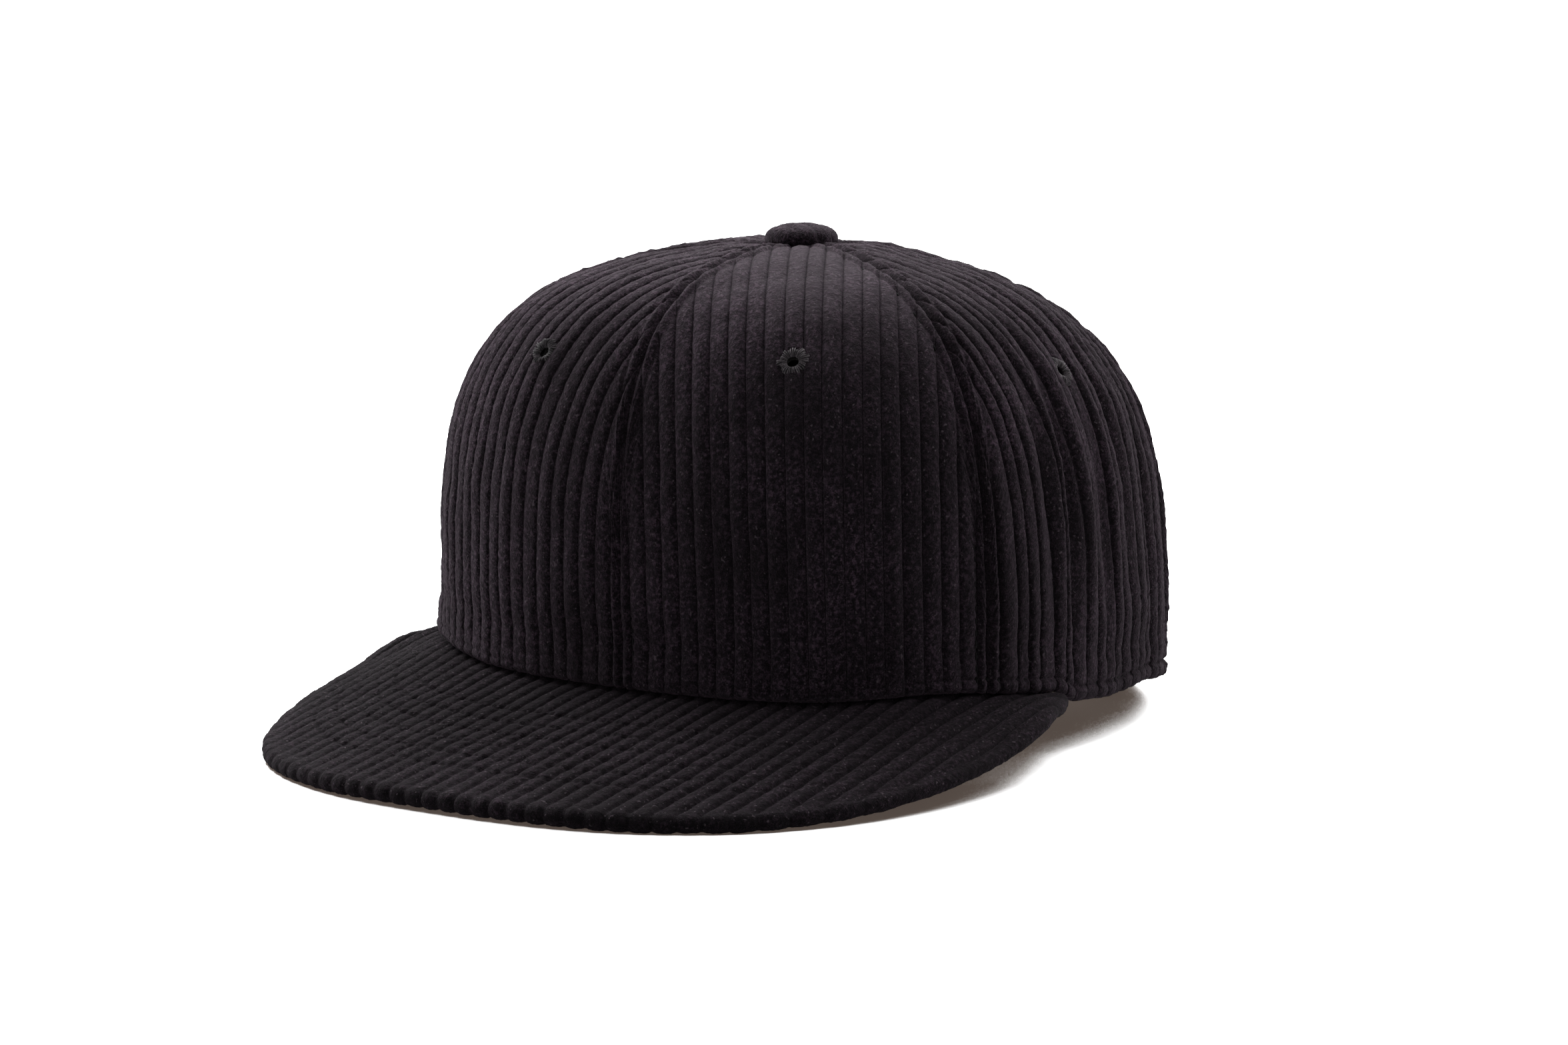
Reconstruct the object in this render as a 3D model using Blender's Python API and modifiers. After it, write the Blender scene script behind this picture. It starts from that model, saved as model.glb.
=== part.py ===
"""Corduroy bump cap: six-panel cloth cap, flat visor, rear clasp closure and a removable impact insert.

Metres, +Z up. The wearer faces -Y and the wearer's left side is +X. The origin is on the floor, under the middle
of the whole cap. The crown is one smooth shape, crown_point(around, rise), and every cloth or plastic layer is a
patch of it at its own depth below the surface.
"""

import functools
import math

import bmesh
import bpy
import numpy as np
from mathutils import Matrix, Vector

MM = 0.001

# Crown: plan outline of the hem
HALF_WIDTH = 92.7 * MM
FRONT_DEPTH = 87.5 * MM
REAR_DEPTH = 93.7 * MM
FRONT_SQUARENESS = 2.66
REAR_SQUARENESS = 2.285
# Crown: height, profile and hem line
CROWN_HEIGHT = 125.7 * MM
SIDE_PROFILE = 2.633
SIDE_PROFILE_FRONT = 0.633
TOP_PROFILE = 3.714
TOP_PROFILE_FRONT = -0.214
CROWN_LEAN = -4.5 * MM
CROWN_SWELL = 0.0114
HEM_REAR = 0.8 * MM
HEM_FRONT_RISE = 17.65 * MM
HEM_SIDE_RISE = 5.5 * MM
HEM_REAR_DIP = 2.4 * MM
HEM_VISOR_LIFT = 2.3 * MM
HEM_VISOR_LIFT_AT = 0.145
HEM_VISOR_LIFT_SPREAD = 0.04
HEM_TAIL_DIP = 3.0 * MM
HEM_TAIL_DIP_FROM = (0.2075, 0.222)
HEM_TAIL_DIP_TO = (0.245, 0.295)

# Visor: plan outline and height of its top face
VISOR_HALF_WIDTH = 104.1 * MM
VISOR_LENGTH = 123.7 * MM
VISOR_ROOT = -40.0 * MM
VISOR_SQUARENESS = 2.547
VISOR_TAIL = 60.0 * MM
VISOR_TAIL_TURN = math.radians(11.2)
VISOR_TAPER = 0.38
VISOR_TAPER_FROM = -54.0 * MM
VISOR_TAPER_EASE = 8.0 * MM
VISOR_HEIGHT = 23.7 * MM
VISOR_DROP = 0.2213
VISOR_UPTURN = 0.567
VISOR_CROWNING = 0.629
VISOR_FLAT = 6.0 * MM
VISOR_BLEND = (-20.8 * MM, 31.5 * MM)
VISOR_TUCK = 3.9 * MM
VISOR_REACH = 0.208
VISOR_THICKNESS = 4.1 * MM

# The crown's centre line stands behind the origin, which is the middle of the visor-to-back length
CROWN_Y = (VISOR_LENGTH - VISOR_ROOT - REAR_DEPTH) / 2

# Layers, from the outside in
GAP = 0.3 * MM
LAYER_GAP = 0.5 * MM
PAD_GAP = 1.0 * MM
SEAM_GAP = 0.4 * MM
CLOTH = 1.5 * MM
STIFFENER = 0.6 * MM
TAPE = 0.5 * MM
TAPE_WIDTH = 12.0 * MM
SWEATBAND = 1.5 * MM
SWEATBAND_HEIGHT = 33.0 * MM
PANEL_TIP = 3.4 * MM

# Vent eyelets: rise above the hem, and by how much three of them stand away from their panel's middle
EYELET_RISE = 87.0 * MM
EYELET_RISE_FRONT_RIGHT = 85.0 * MM
EYELET_SHIFTS = {1: -0.004, 4: 0.004, 5: 0.0193}
EYELET_RADIUS = 4.15 * MM
EYELET_HOLE = 1.5 * MM

# Button on the crown
BUTTON_RADIUS = 9.8 * MM
BUTTON_HEIGHT = 6.4 * MM

# Rear arch, strap and clasp
ARCH_HALF_WIDTH = 38.0 * MM
ARCH_HEIGHT = 48.0 * MM
STRAP_RADIUS = 103.0 * MM
STRAP_APEX = 87.5 * MM
STRAP_THICKNESS = 2.0 * MM
STRAP_LOW = 2.6 * MM
STRAP_HIGH = 21.4 * MM
STRAP_HALF_LENGTH = 62.0 * MM
CLASP_ANGLE = math.radians(7)
PIN_ACROSS = 3.0 * MM
PIN_OUT = 3.4 * MM
PIN_RADIUS = 0.8 * MM
BAR_ACROSS = 11.5 * MM
BAR_OUT = 3.8 * MM
BAR_RADIUS = 0.9 * MM

# Impact insert
SHELL_DEPTH_FRONT = 7.9 * MM
SHELL_DEPTH_REAR = 11.5 * MM
SHELL_DEPTH_TOP = 9.0 * MM
SHELL_THICKNESS = 2.2 * MM
SHELL_EDGE_FRONT = 28.0 * MM
SHELL_EDGE_REAR = 56.0 * MM
PAD_THICKNESS = 6.0 * MM

PARTS = "bump_cap"
CUTTERS = "cutters"


# ---------------------------------------------------------------- scene and materials

def start():
    """Empties the scene and makes the two collections."""
    for old in list(bpy.data.objects):
        bpy.data.objects.remove(old, do_unlink=True)
    for name in (PARTS, CUTTERS):
        group = bpy.data.collections.new(name)
        bpy.context.scene.collection.children.link(group)
    bpy.data.collections[CUTTERS].hide_render = True


FINISHES = {
    "corduroy": ((0.045, 0.040, 0.045), 0.95, 0.0),
    "under_cloth": ((0.020, 0.019, 0.022), 0.90, 0.0),
    "thread": ((0.230, 0.215, 0.230), 0.80, 0.0),
    "lining": ((0.030, 0.030, 0.034), 0.85, 0.0),
    "visor_plastic": ((0.080, 0.080, 0.085), 0.55, 0.0),
    "button_metal": ((0.550, 0.560, 0.580), 0.35, 1.0),
    "clasp_metal": ((0.480, 0.380, 0.230), 0.35, 1.0),
    "shell_plastic": ((0.035, 0.036, 0.040), 0.45, 0.0),
    "foam": ((0.060, 0.060, 0.066), 0.95, 0.0),
    "hook_and_loop": ((0.015, 0.015, 0.017), 1.0, 0.0),
}


@functools.cache
def material(slot):
    colour, roughness, metallic = FINISHES[slot]
    made = bpy.data.materials.new(slot)
    made.use_nodes = True
    shader = made.node_tree.nodes["Principled BSDF"]
    shader.inputs["Base Color"].default_value = (*colour, 1.0)
    shader.inputs["Roughness"].default_value = roughness
    shader.inputs["Metallic"].default_value = metallic
    return made


def add(name, data, slot, group=PARTS):
    obj = bpy.data.objects.new(name, data)
    bpy.data.collections[group].objects.link(obj)
    if slot:
        data.materials.append(material(slot))
    return obj


def mesh_object(name, bm, slot, smooth=True, group=PARTS):
    mesh = bpy.data.meshes.new(name)
    bm.to_mesh(mesh)
    bm.free()
    if smooth:
        mesh.shade_smooth()
        mesh.set_sharp_from_angle(angle=math.radians(40))
    return add(name, mesh, slot, group)


def boolean(obj, other, operation="DIFFERENCE"):
    step = obj.modifiers.new(other.name, "BOOLEAN")
    step.operation = operation
    step.object = other


def cutter(name, bm):
    obj = mesh_object(name, bm, None, smooth=False, group=CUTTERS)
    obj.hide_render = True
    obj.display_type = "WIRE"
    return obj


# ---------------------------------------------------------------- the crown's shape

def by_length(points):
    """The length along a line of points up to each of them."""
    steps = np.linalg.norm(np.diff(points, axis=0), axis=1)
    return np.concatenate([[0.0], np.cumsum(steps)])


def signed_power(value, power):
    return np.sign(value) * np.abs(value) ** power


def smooth_step(value, low, high):
    share = min(max((value - low) / (high - low), 0.0), 1.0)
    return share * share * (3 - 2 * share)


def from_front(around):
    """Distance round the crown from the middle of the front, 0 to 0.5, on either side."""
    return min(around % 1.0, 1 - around % 1.0)


@functools.cache
def hem_outline():
    """The hem's plan outline from the middle of the front towards +X, and the length at each point."""
    turn = np.linspace(0, 2 * math.pi, 2881)
    front = np.cos(turn) >= 0
    power = np.where(front, 2 / FRONT_SQUARENESS, 2 / REAR_SQUARENESS)
    depth = np.where(front, FRONT_DEPTH, REAR_DEPTH)
    x = HALF_WIDTH * signed_power(np.sin(turn), power)
    y = -depth * signed_power(np.cos(turn), power)
    points = np.stack([x, y], axis=1)
    return points, by_length(points)


def hem_length():
    return hem_outline()[1][-1]


def hem_plan(around):
    points, length = hem_outline()
    at = (around % 1.0) * length[-1]
    return np.array([np.interp(at, length, points[:, k]) for k in (0, 1)])


def hem_height(around):
    turn = 2 * math.pi * around
    rise = HEM_FRONT_RISE * (1 + math.cos(turn)) / 2
    rise += HEM_SIDE_RISE * (1 - math.cos(2 * turn)) / 2
    rise -= HEM_REAR_DIP * smooth_step(from_front(around), 0.33, 0.42)
    rise += HEM_VISOR_LIFT * math.exp(-((from_front(around) - HEM_VISOR_LIFT_AT) / HEM_VISOR_LIFT_SPREAD) ** 2)
    dip = smooth_step(from_front(around), *HEM_TAIL_DIP_FROM)
    dip *= 1 - smooth_step(from_front(around), *HEM_TAIL_DIP_TO)
    return HEM_REAR + max(rise - HEM_TAIL_DIP * dip, 0.0)


@functools.lru_cache(maxsize=None)
def meridian(around):
    """The crown's profile from the hem to the pole at one place round it, and the length at each point."""
    turn = 2 * math.pi * around
    plan = hem_plan(around)
    low = hem_height(around)
    climb = np.linspace(0, math.pi / 2, 721)
    reach = np.cos(climb) ** (2 / (SIDE_PROFILE + SIDE_PROFILE_FRONT * math.cos(turn)))
    reach[-1] = 0.0
    lift = np.sin(climb) ** (2 / (TOP_PROFILE + TOP_PROFILE_FRONT * math.cos(turn)))
    swell = reach * (1 + CROWN_SWELL * lift)
    x = plan[0] * swell
    y = plan[1] * swell + CROWN_LEAN * lift + CROWN_Y
    z = low + (CROWN_HEIGHT - low) * lift
    points = np.stack([x, y, z], axis=1)
    return points, by_length(points)


def rise_to_pole(around):
    return meridian(round(around % 1.0, 7))[1][-1]


def crown_point(around, rise):
    """A point of the crown's outer face: around is 0 to 1 from the front towards +X, rise is metres from the hem."""
    points, length = meridian(round(around % 1.0, 7))
    return Vector([np.interp(rise, length, points[:, k]) for k in range(3)])


def crown_normal(around, rise):
    if rise > rise_to_pole(around) - 2.0 * MM:
        return Vector((0, 0, 1))
    sideways = crown_point(around + 0.002, rise) - crown_point(around - 0.002, rise)
    upwards = crown_point(around, rise + 1.0 * MM) - crown_point(around, max(rise - 1.0 * MM, 0.0))
    return sideways.cross(upwards).normalized()


def under_crown(around, rise, depth):
    """A point at a depth below the crown's outer face."""
    return crown_point(around, rise) - crown_normal(around, rise) * depth


# ---------------------------------------------------------------- shape builders

def grid(columns, rows, place):
    """A flat grid whose points are moved to place(across, up), each from 0 to 1."""
    bm = bmesh.new()
    bmesh.ops.create_grid(bm, x_segments=columns, y_segments=rows, size=0.5)
    for vertex in bm.verts:
        vertex.co = place(vertex.co.x + 0.5, vertex.co.y + 0.5)
    return bm


def thicken(obj, thickness, even=True):
    """Gives an open surface its thickness, away from its outer face."""
    step = obj.modifiers.new("thickness", "SOLIDIFY")
    step.thickness = thickness
    step.offset = -1
    step.use_even_offset = even


def crown_layer(name, slot, around, rise, depth, thickness, cells):
    """A patch of the crown. Its rises are numbers or functions of around, its depth one of around and rise."""
    def value(of, *at):
        return of(*at) if callable(of) else of

    def place(across, up):
        at = around[0] + (around[1] - around[0]) * across
        low = value(rise[0], at)
        height = low + (value(rise[1], at) - low) * up
        return under_crown(at, height, value(depth, at, height))

    obj = mesh_object(name, grid(*cells, place), slot)
    thicken(obj, thickness)
    return obj


def crown_cap(name, slot, low, depth, thickness, cells):
    """A whole dome of the crown's shape, closed at the pole, from a lower edge low(around)."""
    def place(across, up):
        at = across % 1.0
        rise = low(at) + (rise_to_pole(at) - low(at)) * up
        return under_crown(at, rise, depth(at, rise))

    bm = grid(*cells, place)
    bmesh.ops.remove_doubles(bm, verts=bm.verts, dist=0.0001)
    obj = mesh_object(name, bm, slot)
    thicken(obj, thickness)
    return obj


def turned(name, slot, profile, steps, place):
    """A turned shape: its profile runs top to bottom down the outside, as (radius, height) pairs."""
    bm = bmesh.new()
    corners = [bm.verts.new((radius, 0, height)) for radius, height in profile]
    for one, two in zip(corners, corners[1:]):
        bm.edges.new((one, two))
    if profile[0][0] > 0:
        bm.edges.new((corners[-1], corners[0]))
    obj = mesh_object(name, bm, slot)
    step = obj.modifiers.new("turn", "SCREW")
    step.steps = steps
    step.render_steps = steps
    step.use_merge_vertices = True
    step.merge_threshold = 0.00001
    step.use_smooth_shade = True
    obj.matrix_world = place
    return obj


def rod(radius, low, high, segments=20):
    """A closed cylinder along Z, between two heights."""
    bm = bmesh.new()
    middle = Matrix.Translation((0, 0, (low + high) / 2))
    bmesh.ops.create_cone(bm, cap_ends=True, segments=segments, radius1=radius, radius2=radius,
                          depth=high - low, matrix=middle)
    return bm


def block(low, high):
    """A box between two corners."""
    bm = bmesh.new()
    low = Vector(low)
    high = Vector(high)
    size = Matrix.Diagonal((*(high - low), 1))
    bmesh.ops.create_cube(bm, size=1, matrix=Matrix.Translation((low + high) / 2) @ size)
    return bm


def facing(around, rise):
    """A place on the crown with +Z along its outward normal and +X round it."""
    normal = crown_normal(around, rise)
    sideways = (crown_point(around + 0.002, rise) - crown_point(around - 0.002, rise)).normalized()
    upwards = normal.cross(sideways)
    turn = Matrix((sideways, upwards, normal)).transposed()
    return Matrix.Translation(crown_point(around, rise)) @ turn.to_4x4()


# ---------------------------------------------------------------- crown: panels, eyelets, tapes

PANELS = ("front_left", "side_left", "back_left", "back_right", "side_right", "front_right")


def panel_middle(number):
    return (2 * number + 1) / 12


def eyelet_place(number):
    """Place round the crown and rise of a panel's eyelet."""
    rise = EYELET_RISE_FRONT_RIGHT if number == 5 else EYELET_RISE
    return panel_middle(number) + EYELET_SHIFTS.get(number, 0.0), rise


PANEL_COLUMNS = 8
PANEL_ROWS = 12


def panel_rise(around, row):
    """How far above the hem line a row of a panel's grid lies. The layers inside share these rows."""
    return (rise_to_pole(around) - PANEL_TIP) * row / PANEL_ROWS


def panel(number):
    """One sewn panel. Its sides stay half a seam gap from the seam lines, all the way up to the tip."""
    middle = panel_middle(number)

    def place(across, up):
        at = middle + (across - 0.5) / 6
        rise = panel_rise(at, up * PANEL_ROWS)
        point = crown_point(at, rise)
        radius = math.hypot(point.x, point.y - CROWN_Y - CROWN_LEAN)
        inward = (0.5 - across) * 2 * (SEAM_GAP / 2) / (2 * math.pi * radius)
        return crown_point(at + inward, rise)

    obj = mesh_object(PANELS[number] + "_panel", grid(PANEL_COLUMNS, PANEL_ROWS, place), "corduroy")
    thicken(obj, CLOTH)
    boolean(obj, hole_cutter(number, EYELET_RADIUS + GAP, "panel"))
    return obj


def hole_cutter(number, radius, purpose):
    obj = cutter(f"{purpose}_hole_{PANELS[number]}", rod(radius, -4 * MM, 4 * MM, 16))
    obj.matrix_world = facing(*eyelet_place(number))
    return obj


def eyelet(number):
    """A stitched ring that fills a hole in its panel, standing a little proud of the cloth."""
    half = 1.0 * MM
    profile = [(EYELET_HOLE + 0.9 * MM, half), (EYELET_RADIUS - 0.5 * MM, half * 0.8), (EYELET_RADIUS, 0),
               (EYELET_RADIUS - 0.5 * MM, -half * 0.8), (EYELET_HOLE + 0.4 * MM, -half), (EYELET_HOLE, 0)]
    place = facing(*eyelet_place(number)) @ Matrix.Translation((0, 0, -0.5 * MM))
    return turned(PANELS[number] + "_eyelet", "thread", profile, 14, place)


def stiffener(name, around, number):
    """Stiff open-weave backing of a front panel."""
    top_row = PANEL_ROWS - 2
    obj = crown_layer(name, "lining", around, (0.0, lambda at: panel_rise(at, top_row)),
                      CLOTH + LAYER_GAP, STIFFENER, (PANEL_COLUMNS, top_row))
    boolean(obj, hole_cutter(number, EYELET_RADIUS, "stiffener"))
    return obj


SEAMS = ("front", "front_left", "rear_left", "rear", "rear_right", "front_right")


def seam_tape(number):
    """A woven tape over the inside of one seam."""
    seam = number / 6
    half = TAPE_WIDTH / 2 / hem_length()
    low_row = 4 if SEAMS[number] == "rear" else 0
    rows = PANEL_ROWS - 1 - low_row
    depth = CLOTH + STIFFENER + 2 * LAYER_GAP

    def place(across, up):
        rise = panel_rise(seam, low_row + rows * up)
        point = crown_point(seam, rise)
        spread = hem_length() / (2 * math.pi * math.hypot(point.x, point.y - CROWN_Y - CROWN_LEAN))
        return under_crown(seam + (across * 2 - 1) * half * spread, rise, depth)

    obj = mesh_object("seam_tape_" + SEAMS[number], grid(2, rows, place), "lining")
    thicken(obj, TAPE)
    return obj


# ---------------------------------------------------------------- button

def button():
    """A cloth-covered button, its metal former, and the rivet and washer that hold it through the crown."""
    pole = Matrix.Translation(crown_point(0, rise_to_pole(0)))
    top = BUTTON_HEIGHT
    edge = BUTTON_RADIUS
    skin = 1.1 * MM
    dome = [(0.0, top), (0.38 * edge, 0.975 * top), (0.70 * edge, 0.84 * top), (0.91 * edge, 0.60 * top),
            (edge, 0.32 * top), (0.93 * edge, 0.10 * top), (0.78 * edge, 0.07 * top)]
    inside = [(r * (1 - skin / edge), z - skin * (1 if z > 0.2 * top else -0.6)) for r, z in reversed(dome[:-1])]
    turned("button_cover", "corduroy", dome + inside, 20, pole)
    former = [(0.0, 0.76 * top), (0.36 * edge, 0.74 * top), (0.62 * edge, 0.61 * top), (0.79 * edge, 0.38 * top),
              (0.80 * edge, 0.28 * top), (0.0, 0.28 * top)]
    turned("button_former", "button_metal", former, 20, pole)
    rivet = [(0.0, 0.28 * top - GAP), (1.2 * MM, 0.28 * top - GAP), (1.2 * MM, -CLOTH - 4 * GAP - 0.8 * MM),
             (3.0 * MM, -CLOTH - 4 * GAP - 0.8 * MM), (2.4 * MM, -CLOTH - 4 * GAP - 1.6 * MM),
             (0.0, -CLOTH - 4 * GAP - 1.8 * MM)]
    turned("button_rivet", "button_metal", rivet, 16, pole)
    washer = [(1.6 * MM, -CLOTH - 2 * GAP), (6.0 * MM, -CLOTH - 2 * GAP), (6.0 * MM, -CLOTH - 2 * GAP - 0.8 * MM),
              (1.6 * MM, -CLOTH - 2 * GAP - 0.8 * MM)]
    turned("button_washer", "button_metal", washer, 20, pole)


# ---------------------------------------------------------------- visor

@functools.cache
def visor_outline():
    """The visor's plan outline from its right end to its left end, and the length at each point."""
    turn = np.linspace(-math.pi / 2 - VISOR_TAIL_TURN, math.pi / 2 + VISOR_TAIL_TURN, 1201)
    power = 2 / VISOR_SQUARENESS
    ahead = np.cos(turn)
    reach = np.where(ahead >= 0, VISOR_LENGTH, VISOR_TAIL)
    x = VISOR_HALF_WIDTH * signed_power(np.sin(turn), power)
    y = CROWN_Y + VISOR_ROOT - reach * signed_power(ahead, power)
    back = np.maximum(y - CROWN_Y - VISOR_TAPER_FROM, 0)
    x -= np.sign(x) * VISOR_TAPER * back**2 / (back + VISOR_TAPER_EASE)
    points = np.stack([x, y], axis=1)
    return points, by_length(points)


def visor_plan(across, out, trim):
    """A plan point of the visor: out runs from its sewn inner edge to its outline, less a trim all round."""
    inner = under_crown(VISOR_REACH * (2 * across - 1), 0, VISOR_TUCK)
    points, length = visor_outline()
    at = across * length[-1] + np.array([-0.5, 0, 0.5]) * MM
    x, y = (np.interp(at, length, points[:, k]) for k in (0, 1))
    inward = Vector((y[0] - y[2], x[2] - x[0], 0)).normalized()
    return Vector((inner.x, inner.y, 0)).lerp(Vector((x[1], y[1], 0)) + inward * trim, out)


def visor_height(across, out, plan):
    """Height of the visor's top face: it runs from just under the hem line down to its outer edge."""
    sewn = hem_height(VISOR_REACH * (2 * across - 1)) - 2 * GAP
    ahead = CROWN_Y + VISOR_ROOT - plan.y
    reach = max(ahead, 0.0)
    side = max(abs(plan.x) - VISOR_FLAT, 0.0)
    edge = VISOR_HEIGHT - VISOR_DROP * reach + VISOR_UPTURN * reach**2 - VISOR_CROWNING * side**2
    edge = sewn + (edge - sewn) * smooth_step(ahead, *VISOR_BLEND)
    return sewn + (edge - sewn) * out


def visor_layer(name, slot, below, thickness, trim, lip=0.0):
    """One layer of the visor, at a depth below its top face. A lip turns down round the outer edge."""
    flat_rows = 5
    rows = flat_rows + 1 if lip else flat_rows

    def place(across, up):
        row = up * rows
        out = min(row / flat_rows, 1.0)
        plan = visor_plan(across, out, trim)
        drop = lip * max(row - flat_rows, 0.0)
        edge = visor_plan(across, 1.0, 0.0)
        return Vector((plan.x, plan.y, visor_height(across, out, edge) - below - drop))

    bm = grid(33, rows, place)
    bmesh.ops.reverse_faces(bm, faces=bm.faces)
    obj = mesh_object(name, bm, slot)
    thicken(obj, thickness, even=False)
    return obj


def visor():
    """Stiff board between a corduroy top cover, which wraps its edge, and an under cover."""
    top = 1.1 * MM
    under = 0.6 * MM
    board = VISOR_THICKNESS - top - under - 2 * GAP
    visor_layer("visor_top_cover", "corduroy", 0, top, 0, VISOR_THICKNESS - top)
    visor_layer("visor_board", "visor_plastic", top + GAP, board, top + GAP)
    visor_layer("visor_under_cover", "under_cloth", top + board + 2 * GAP, under, top + GAP)


# ---------------------------------------------------------------- sweatband and rear arch

def sweatband():
    """A band inside the hem, open at the rear arch. Towards the arch it stands in, behind the strap's ends."""
    end = 0.5 - (ARCH_HALF_WIDTH + 3 * MM) / hem_length()

    def depth(around, rise):
        return (4.4 + 4.2 * smooth_step(from_front(around), 0.29, 0.36)) * MM

    return crown_layer("sweatband", "lining", (-end, end), (1.5 * MM, SWEATBAND_HEIGHT), depth, SWEATBAND, (36, 3))


def rear_point(x, z, depth):
    """A point of the crown's rear wall at a width and a height."""
    around = 0.5
    for _ in range(12):
        around += (crown_point(around, z - hem_height(around)).x - x) / hem_length()
    return under_crown(around, z - hem_height(around), depth)


def arch():
    """The opening at the back of the crown, and the binding round its edge."""
    bm = rod(1.0, -0.5, 0.5, 36)
    size = Matrix.Diagonal((ARCH_HALF_WIDTH, ARCH_HEIGHT, 50 * MM, 1))
    bmesh.ops.transform(bm, matrix=Matrix.Rotation(math.pi / 2, 4, "X") @ size, verts=bm.verts)
    opening = cutter("arch_opening", bm)
    opening.location = (0, CROWN_Y + REAR_DEPTH - 5 * MM, 0)
    for name in ("back_left_panel", "back_right_panel"):
        boolean(bpy.data.objects[name], opening)

    radius = 1.1 * MM
    clear = radius + 1.5 * GAP
    route = []
    for step in range(29):
        turn = math.radians(3.5) + step / 28 * math.radians(173)
        x = (ARCH_HALF_WIDTH - clear) * math.cos(turn)
        z = (ARCH_HEIGHT - clear) * math.sin(turn)
        route.append(rear_point(x, z, CLOTH / 2))
    tube("arch_binding", "lining", route, radius)


def tube(name, slot, route, radius):
    """A round cord along a route, with closed ends."""
    curve = bpy.data.curves.new(name, "CURVE")
    curve.dimensions = "3D"
    curve.bevel_depth = radius
    curve.bevel_resolution = 1
    curve.use_fill_caps = True
    line = curve.splines.new("POLY")
    line.points.add(len(route) - 1)
    for point, place in zip(line.points, route):
        point.co = (*place, 1)
    return add(name, curve, slot)


# ---------------------------------------------------------------- strap and clasp

STRAP_CENTRE = Vector((0, CROWN_Y + STRAP_APEX - STRAP_RADIUS, 0))


def strap_place(angle):
    """A place on the strap's middle line: +X along it towards the wearer's left, +Y outwards."""
    out = Vector((math.sin(angle), math.cos(angle), 0))
    return Matrix.Translation(STRAP_CENTRE + out * STRAP_RADIUS) @ Matrix.Rotation(-angle, 4, "Z")


def band(name, slot, angles, radii, heights, columns):
    """A strip bent round the strap's centre."""
    def place(across, up):
        angle = angles[0] + (angles[1] - angles[0]) * across
        out = Vector((math.sin(angle), math.cos(angle), 0))
        return STRAP_CENTRE + out * radii[1] + Vector((0, 0, heights[0] + (heights[1] - heights[0]) * up))

    bm = grid(columns, 1, place)
    bmesh.ops.reverse_faces(bm, faces=bm.faces)
    obj = mesh_object(name, bm, slot)
    thicken(obj, radii[1] - radii[0])
    return obj


def rear_strap():
    reach = STRAP_HALF_LENGTH / STRAP_RADIUS
    half = STRAP_THICKNESS / 2
    return band("rear_strap", "corduroy", (-reach, reach), (STRAP_RADIUS - half, STRAP_RADIUS + half),
                (STRAP_LOW, STRAP_HIGH), 20)


def clasp():
    """Cam clasp: a channel frame behind the strap, a lever on a pin, and a cloth tab looped round the frame's bar."""
    place = strap_place(CLASP_ANGLE)
    wall = 1.4 * MM
    low = STRAP_LOW - 0.5 * MM - wall
    high = STRAP_HIGH + 0.5 * MM + wall
    back = -STRAP_THICKNESS / 2 - 2 * GAP

    frame = mesh_object("buckle_frame", block((-9 * MM, back - wall, low), (13.2 * MM, 5.4 * MM, high)),
                        "clasp_metal")
    frame.matrix_world = place
    channel = cutter("buckle_channel", block((-20 * MM, back, low + wall), (20 * MM, 20 * MM, high - wall)))
    window = cutter("buckle_window", block((PIN_ACROSS, -20 * MM, low + wall), (20 * MM, 20 * MM, high - wall)))
    bore = cutter("buckle_bore", rod(PIN_RADIUS + GAP, low - wall, high + wall, 16))
    bar = cutter("buckle_bar", rod(BAR_RADIUS, low + wall / 2, high - wall / 2, 16))
    spots = ((channel, 0, 0), (window, 0, 0), (bore, PIN_ACROSS, PIN_OUT), (bar, BAR_ACROSS, BAR_OUT))
    for tool, across, out in spots:
        tool.matrix_world = place @ Matrix.Translation((across, out, 0))
    for tool in (channel, window, bore):
        boolean(frame, tool)
    boolean(frame, bar, "UNION")

    pin = mesh_object("clasp_pin", rod(PIN_RADIUS, low - 0.2 * MM, high + 0.2 * MM, 16), "clasp_metal")
    pin.matrix_world = place @ Matrix.Translation((PIN_ACROSS, PIN_OUT, 0))

    hinge = bpy.data.objects.new("clasp_hinge", None)
    bpy.data.collections[PARTS].objects.link(hinge)
    hinge.matrix_world = pin.matrix_world
    knuckle_low = low + wall + GAP
    knuckle_high = high - wall - GAP
    lever = mesh_object("clasp_lever", rod(1.9 * MM, knuckle_low, knuckle_high, 18), "clasp_metal")
    plate = cutter("lever_plate", block((-12.5 * MM, -1.6 * MM, knuckle_low + 1 * MM),
                                        (0.2 * MM, -0.4 * MM, knuckle_high - 1 * MM)))
    lever_bore = cutter("lever_bore", rod(PIN_RADIUS + GAP, knuckle_low - wall, knuckle_high + wall, 16))
    for piece in (lever, plate, lever_bore):
        piece.parent = hinge
    boolean(lever, plate, "UNION")
    boolean(lever, lever_bore)
    buckle_tab(place)


def buckle_tab(place):
    """The tab: a doubled strip outside the strap, with the loop that holds the frame's bar."""
    loop = 2.1 * MM
    bar_at = place @ Vector((BAR_ACROSS, BAR_OUT, 0))
    spoke = Vector((bar_at.x - STRAP_CENTRE.x, bar_at.y - STRAP_CENTRE.y))
    start = math.atan2(spoke.x, spoke.y)
    inner = STRAP_RADIUS + STRAP_THICKNESS / 2 + 2 * GAP
    tab = band("buckle_tab", "corduroy", (start, math.radians(31)), (inner, inner + 2.0 * MM),
               (STRAP_LOW + 0.8 * MM, STRAP_HIGH - 0.8 * MM), 8)
    ring = cutter("tab_ring", rod(loop, STRAP_LOW + 0.8 * MM, STRAP_HIGH - 0.8 * MM, 18))
    hole = cutter("tab_hole", rod(BAR_RADIUS + GAP, 0, STRAP_HIGH + 5 * MM, 16))
    for tool in (ring, hole):
        tool.location = (bar_at.x, bar_at.y, 0)
    boolean(tab, ring, "UNION")
    boolean(tab, hole)


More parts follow.
